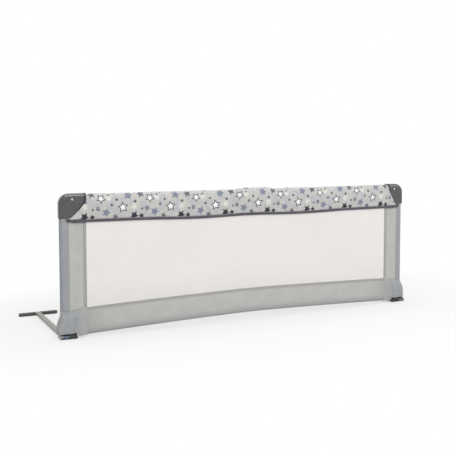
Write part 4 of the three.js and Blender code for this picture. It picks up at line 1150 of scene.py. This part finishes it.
def stitch_tree():
    """Geometry Nodes that lay one thread stitch after another along a line of edges."""
    tree = bpy.data.node_groups.new("stitches", "GeometryNodeTree")
    face = tree.interface
    face.new_socket("Line", in_out="INPUT", socket_type="NodeSocketGeometry")
    for name, value in (("Pitch", 3.0), ("Length", 2.2), ("Thickness", 0.35)):
        made = face.new_socket(name, in_out="INPUT", socket_type="NodeSocketFloat")
        made.default_value = value * MM
    face.new_socket("Thread", in_out="INPUT", socket_type="NodeSocketMaterial")
    face.new_socket("Stitches", in_out="OUTPUT", socket_type="NodeSocketGeometry")
    given = add(tree, "NodeGroupInput").outputs
    curve = add(tree, "GeometryNodeMeshToCurve", {"Mesh": given["Line"]})
    spread = {"Curve": curve, "Length": given["Pitch"]}
    spots = add(tree, "GeometryNodeResampleCurve", spread, mode="LENGTH")
    tangent = add(tree, "GeometryNodeInputTangent")
    turned = add(tree, "FunctionNodeAlignRotationToVector", {"Vector": tangent}, axis="Z")
    shape = add(tree, "GeometryNodeMeshUVSphere", {"Segments": 6, "Rings": 5, "Radius": 0.5})
    size = add(tree, "ShaderNodeCombineXYZ", [given["Thickness"], given["Thickness"], given["Length"]])
    stitch = {"Points": spots, "Instance": shape, "Rotation": turned, "Scale": size}
    laid = add(tree, "GeometryNodeInstanceOnPoints", stitch)
    real = add(tree, "GeometryNodeRealizeInstances", [laid])
    painted = add(tree, "GeometryNodeSetMaterial", {"Geometry": real, "Material": given["Thread"]})
    add(tree, "NodeGroupOutput", [painted])
    return tree


def stitches(name, lines, material, slot, pitch=3.4, length=2.5, thickness=0.5):
    """Rows of stitches along lines of points, as one mesh."""
    points, edges = [], []
    for line in lines:
        first = len(points)
        points += [to_frame(p) for p in line]
        edges += [(first + i, first + i + 1) for i in range(len(line) - 1)]
    mesh = bpy.data.meshes.new(name)
    mesh.from_pydata(points, edges, [])
    made = new_object(name, mesh)
    modifier = made.modifiers.new("stitches", "NODES")
    modifier.node_group = STITCHES
    values = {"Pitch": pitch * MM, "Length": length * MM, "Thickness": thickness * MM, "Thread": material}
    for item in STITCHES.interface.items_tree:
        if item.in_out == "INPUT" and item.name in values:
            modifier[item.identifier] = values[item.name]
    settle(made)
    made.data.shade_smooth()
    return finish(made, slot)


def sewn_lines():
    """The seams that show: both edges of the hems, the strips' outer seams and the band's top."""
    for side, sign in SIDES.items():
        tops = spaced(POCKET_TOP + 2, lower_edge(WINDOW_HALF) + 3, 60)
        edges = (STRIP_END + 2.2, HEM_END - 2.0)
        hem = [[(at_side(sign, x), -SLEEVE - 0.05, z) for z in tops] for x in edges]
        seam = [[(at_side(sign, SLEEVE_SEAM + 2), -SLEEVE - 0.1, z) for z in tops]]
        stitches(f"hem_stitches_{side}", hem, GREY_THREAD, "hem_cloth")
        stitches(f"seam_stitches_{side}", seam, GREY_THREAD, "strip_cloth")
    end = WINDOW_HALF - 2
    rows = []
    for drop in (2.2, 6.6):
        rows.append([(x, -SLEEVE - 0.75, band_top(x) - drop) for x in spaced(-end, end, 200)])
    stitches("band_stitches", rows, GREY_THREAD, "band_cloth")


# CAD pieces that keep their shape and get a finish

SIDE_FINISHES = [
    (FRAME_PAINT, ["top_tube", "upright"]),
    (LEG_PAINT, ["leg_arm"]),
    (CROSSBAR_PLASTIC, ["leg_crossbar"]),
    (BASE_PLASTIC, ["hinge_base"]),
    (LUG_ZINC, ["hinge_lug"]),
    (BLACK_PLASTIC, ["housing_front", "housing_rear", "release_button"]),
    (ZINC, ["snap_button", "hinge_pin", "arm_rivet", "crossbar_rivet"]),
    (ZINC, ["housing_screw_lower", "housing_screw_upper"]),
]


def paint(name, material):
    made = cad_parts[name]
    made.data.materials.clear()
    made.data.materials.append(material)


def paint_frame():
    paint("bottom_rail", FRAME_PAINT)
    paint("tube_joiner", BLACK_PLASTIC)
    for side in SIDES:
        for material, names in SIDE_FINISHES:
            for name in names:
                paint(f"{name}_{side}", material)


# Floor and light

def seen_share(tree):
    """1 for rays that show the background: those of the camera, and those that metal and glass send on."""
    rays = add(tree, "ShaderNodeLightPath").outputs
    seen = rays["Is Camera Ray"]
    for other in ("Is Glossy Ray", "Is Transmission Ray"):
        seen = add(tree, "ShaderNodeMath", [seen, rays[other]], operation="MAXIMUM")
    return seen


def make_floor():
    """White floor with painted shade that darkens it a little round the part; it also takes up the part's
    shadow.
    """
    material, tree, place = new_material("studio_floor")
    matte = add(tree, "ShaderNodeBsdfDiffuse", {"Color": colour("#E6E6E5")})
    white = add(tree, "ShaderNodeEmission", {"Color": colour("#FFFFFF"), "Strength": 1.0})
    spread = add(tree, "ShaderNodeVectorMath", [place, (1.25, 0.75, 1)], operation="DIVIDE")
    away = add(tree, "ShaderNodeVectorMath", [spread], operation="LENGTH")
    # Painted shade: near the part the floor takes less of the white, so that it is darker round it.
    painted_shade_fade = add(tree, "ShaderNodeMapRange", [away, 0.35, 1.15], interpolation_type="SMOOTHSTEP")
    light = add(tree, "ShaderNodeMath", [painted_shade_fade, 0.45, 0.55], operation="MULTIPLY_ADD")
    share = add(tree, "ShaderNodeMath", [seen_share(tree), light], operation="MULTIPLY")
    mixed = add(tree, "ShaderNodeMixShader", [share, matte, white])
    add(tree, "ShaderNodeOutputMaterial", {"Surface": mixed})
    half = 9
    corners = [(-half, -half, 0), (half, -half, 0), (half, half, 0), (-half, half, 0)]
    mesh = bpy.data.meshes.new("floor")
    mesh.from_pydata(corners, [], [(0, 1, 2, 3)])
    mesh.materials.append(material)
    floor = new_object("floor", mesh)


AMBIENT = 0.48  # light from all around, as a share of the background's white


def make_world():
    world = bpy.data.worlds.new("studio")
    world.use_nodes = True
    tree = world.node_tree
    tree.nodes.clear()
    share = seen_share(tree)
    strength = add(tree, "ShaderNodeMath", [share, 1 - AMBIENT, AMBIENT], operation="MULTIPLY_ADD")
    sky = add(tree, "ShaderNodeBackground", {"Color": colour("#FFFFFF"), "Strength": strength})
    add(tree, "ShaderNodeOutputWorld", {"Surface": sky})
    bpy.context.scene.world = world


def make_light(name, place, target, width, height, power):
    """Soft box at a place, turned to a target; in metres and watts."""
    data = bpy.data.lights.new(name, "AREA")
    data.shape = "RECTANGLE"
    data.size = width
    data.size_y = height
    data.energy = power
    lamp = new_object(name, data)
    away = Vector(target) - Vector(place)
    turn = away.to_track_quat("-Z", "Y").to_matrix().to_4x4()
    lamp.matrix_world = Matrix.Translation(Vector(place)) @ turn


def make_lights():
    make_light("key", (-0.55, -2.75, 2.6), (-0.1, 0, 0.2), 1.7, 1.2, 51)
    make_light("fill", (2.2, -2.4, 1.4), (0.2, 0, 0.2), 1.6, 1.4, 17)
    make_light("top", (0, 0.2, 2.8), (0, 0, 0.2), 2.6, 1.4, 28)


# Assembly

bpy.context.scene.view_settings.view_transform = "Standard"
make_camera()
make_world()
make_lights()
make_floor()
STITCHES = stitch_tree()
padded_cover()
cover_piping()
for side, sign in SIDES.items():
    upright_sleeve(side, sign)
    corner_bracket(side, sign)
    bracket_shade_strip(side, sign)
mesh_window()
bottom_band()
for side, sign in SIDES.items():
    side_strip(side, sign)
    window_hem(side, sign)
    corner_pocket(side, sign)
    release_spring(side)
sewn_lines()
paint_frame()
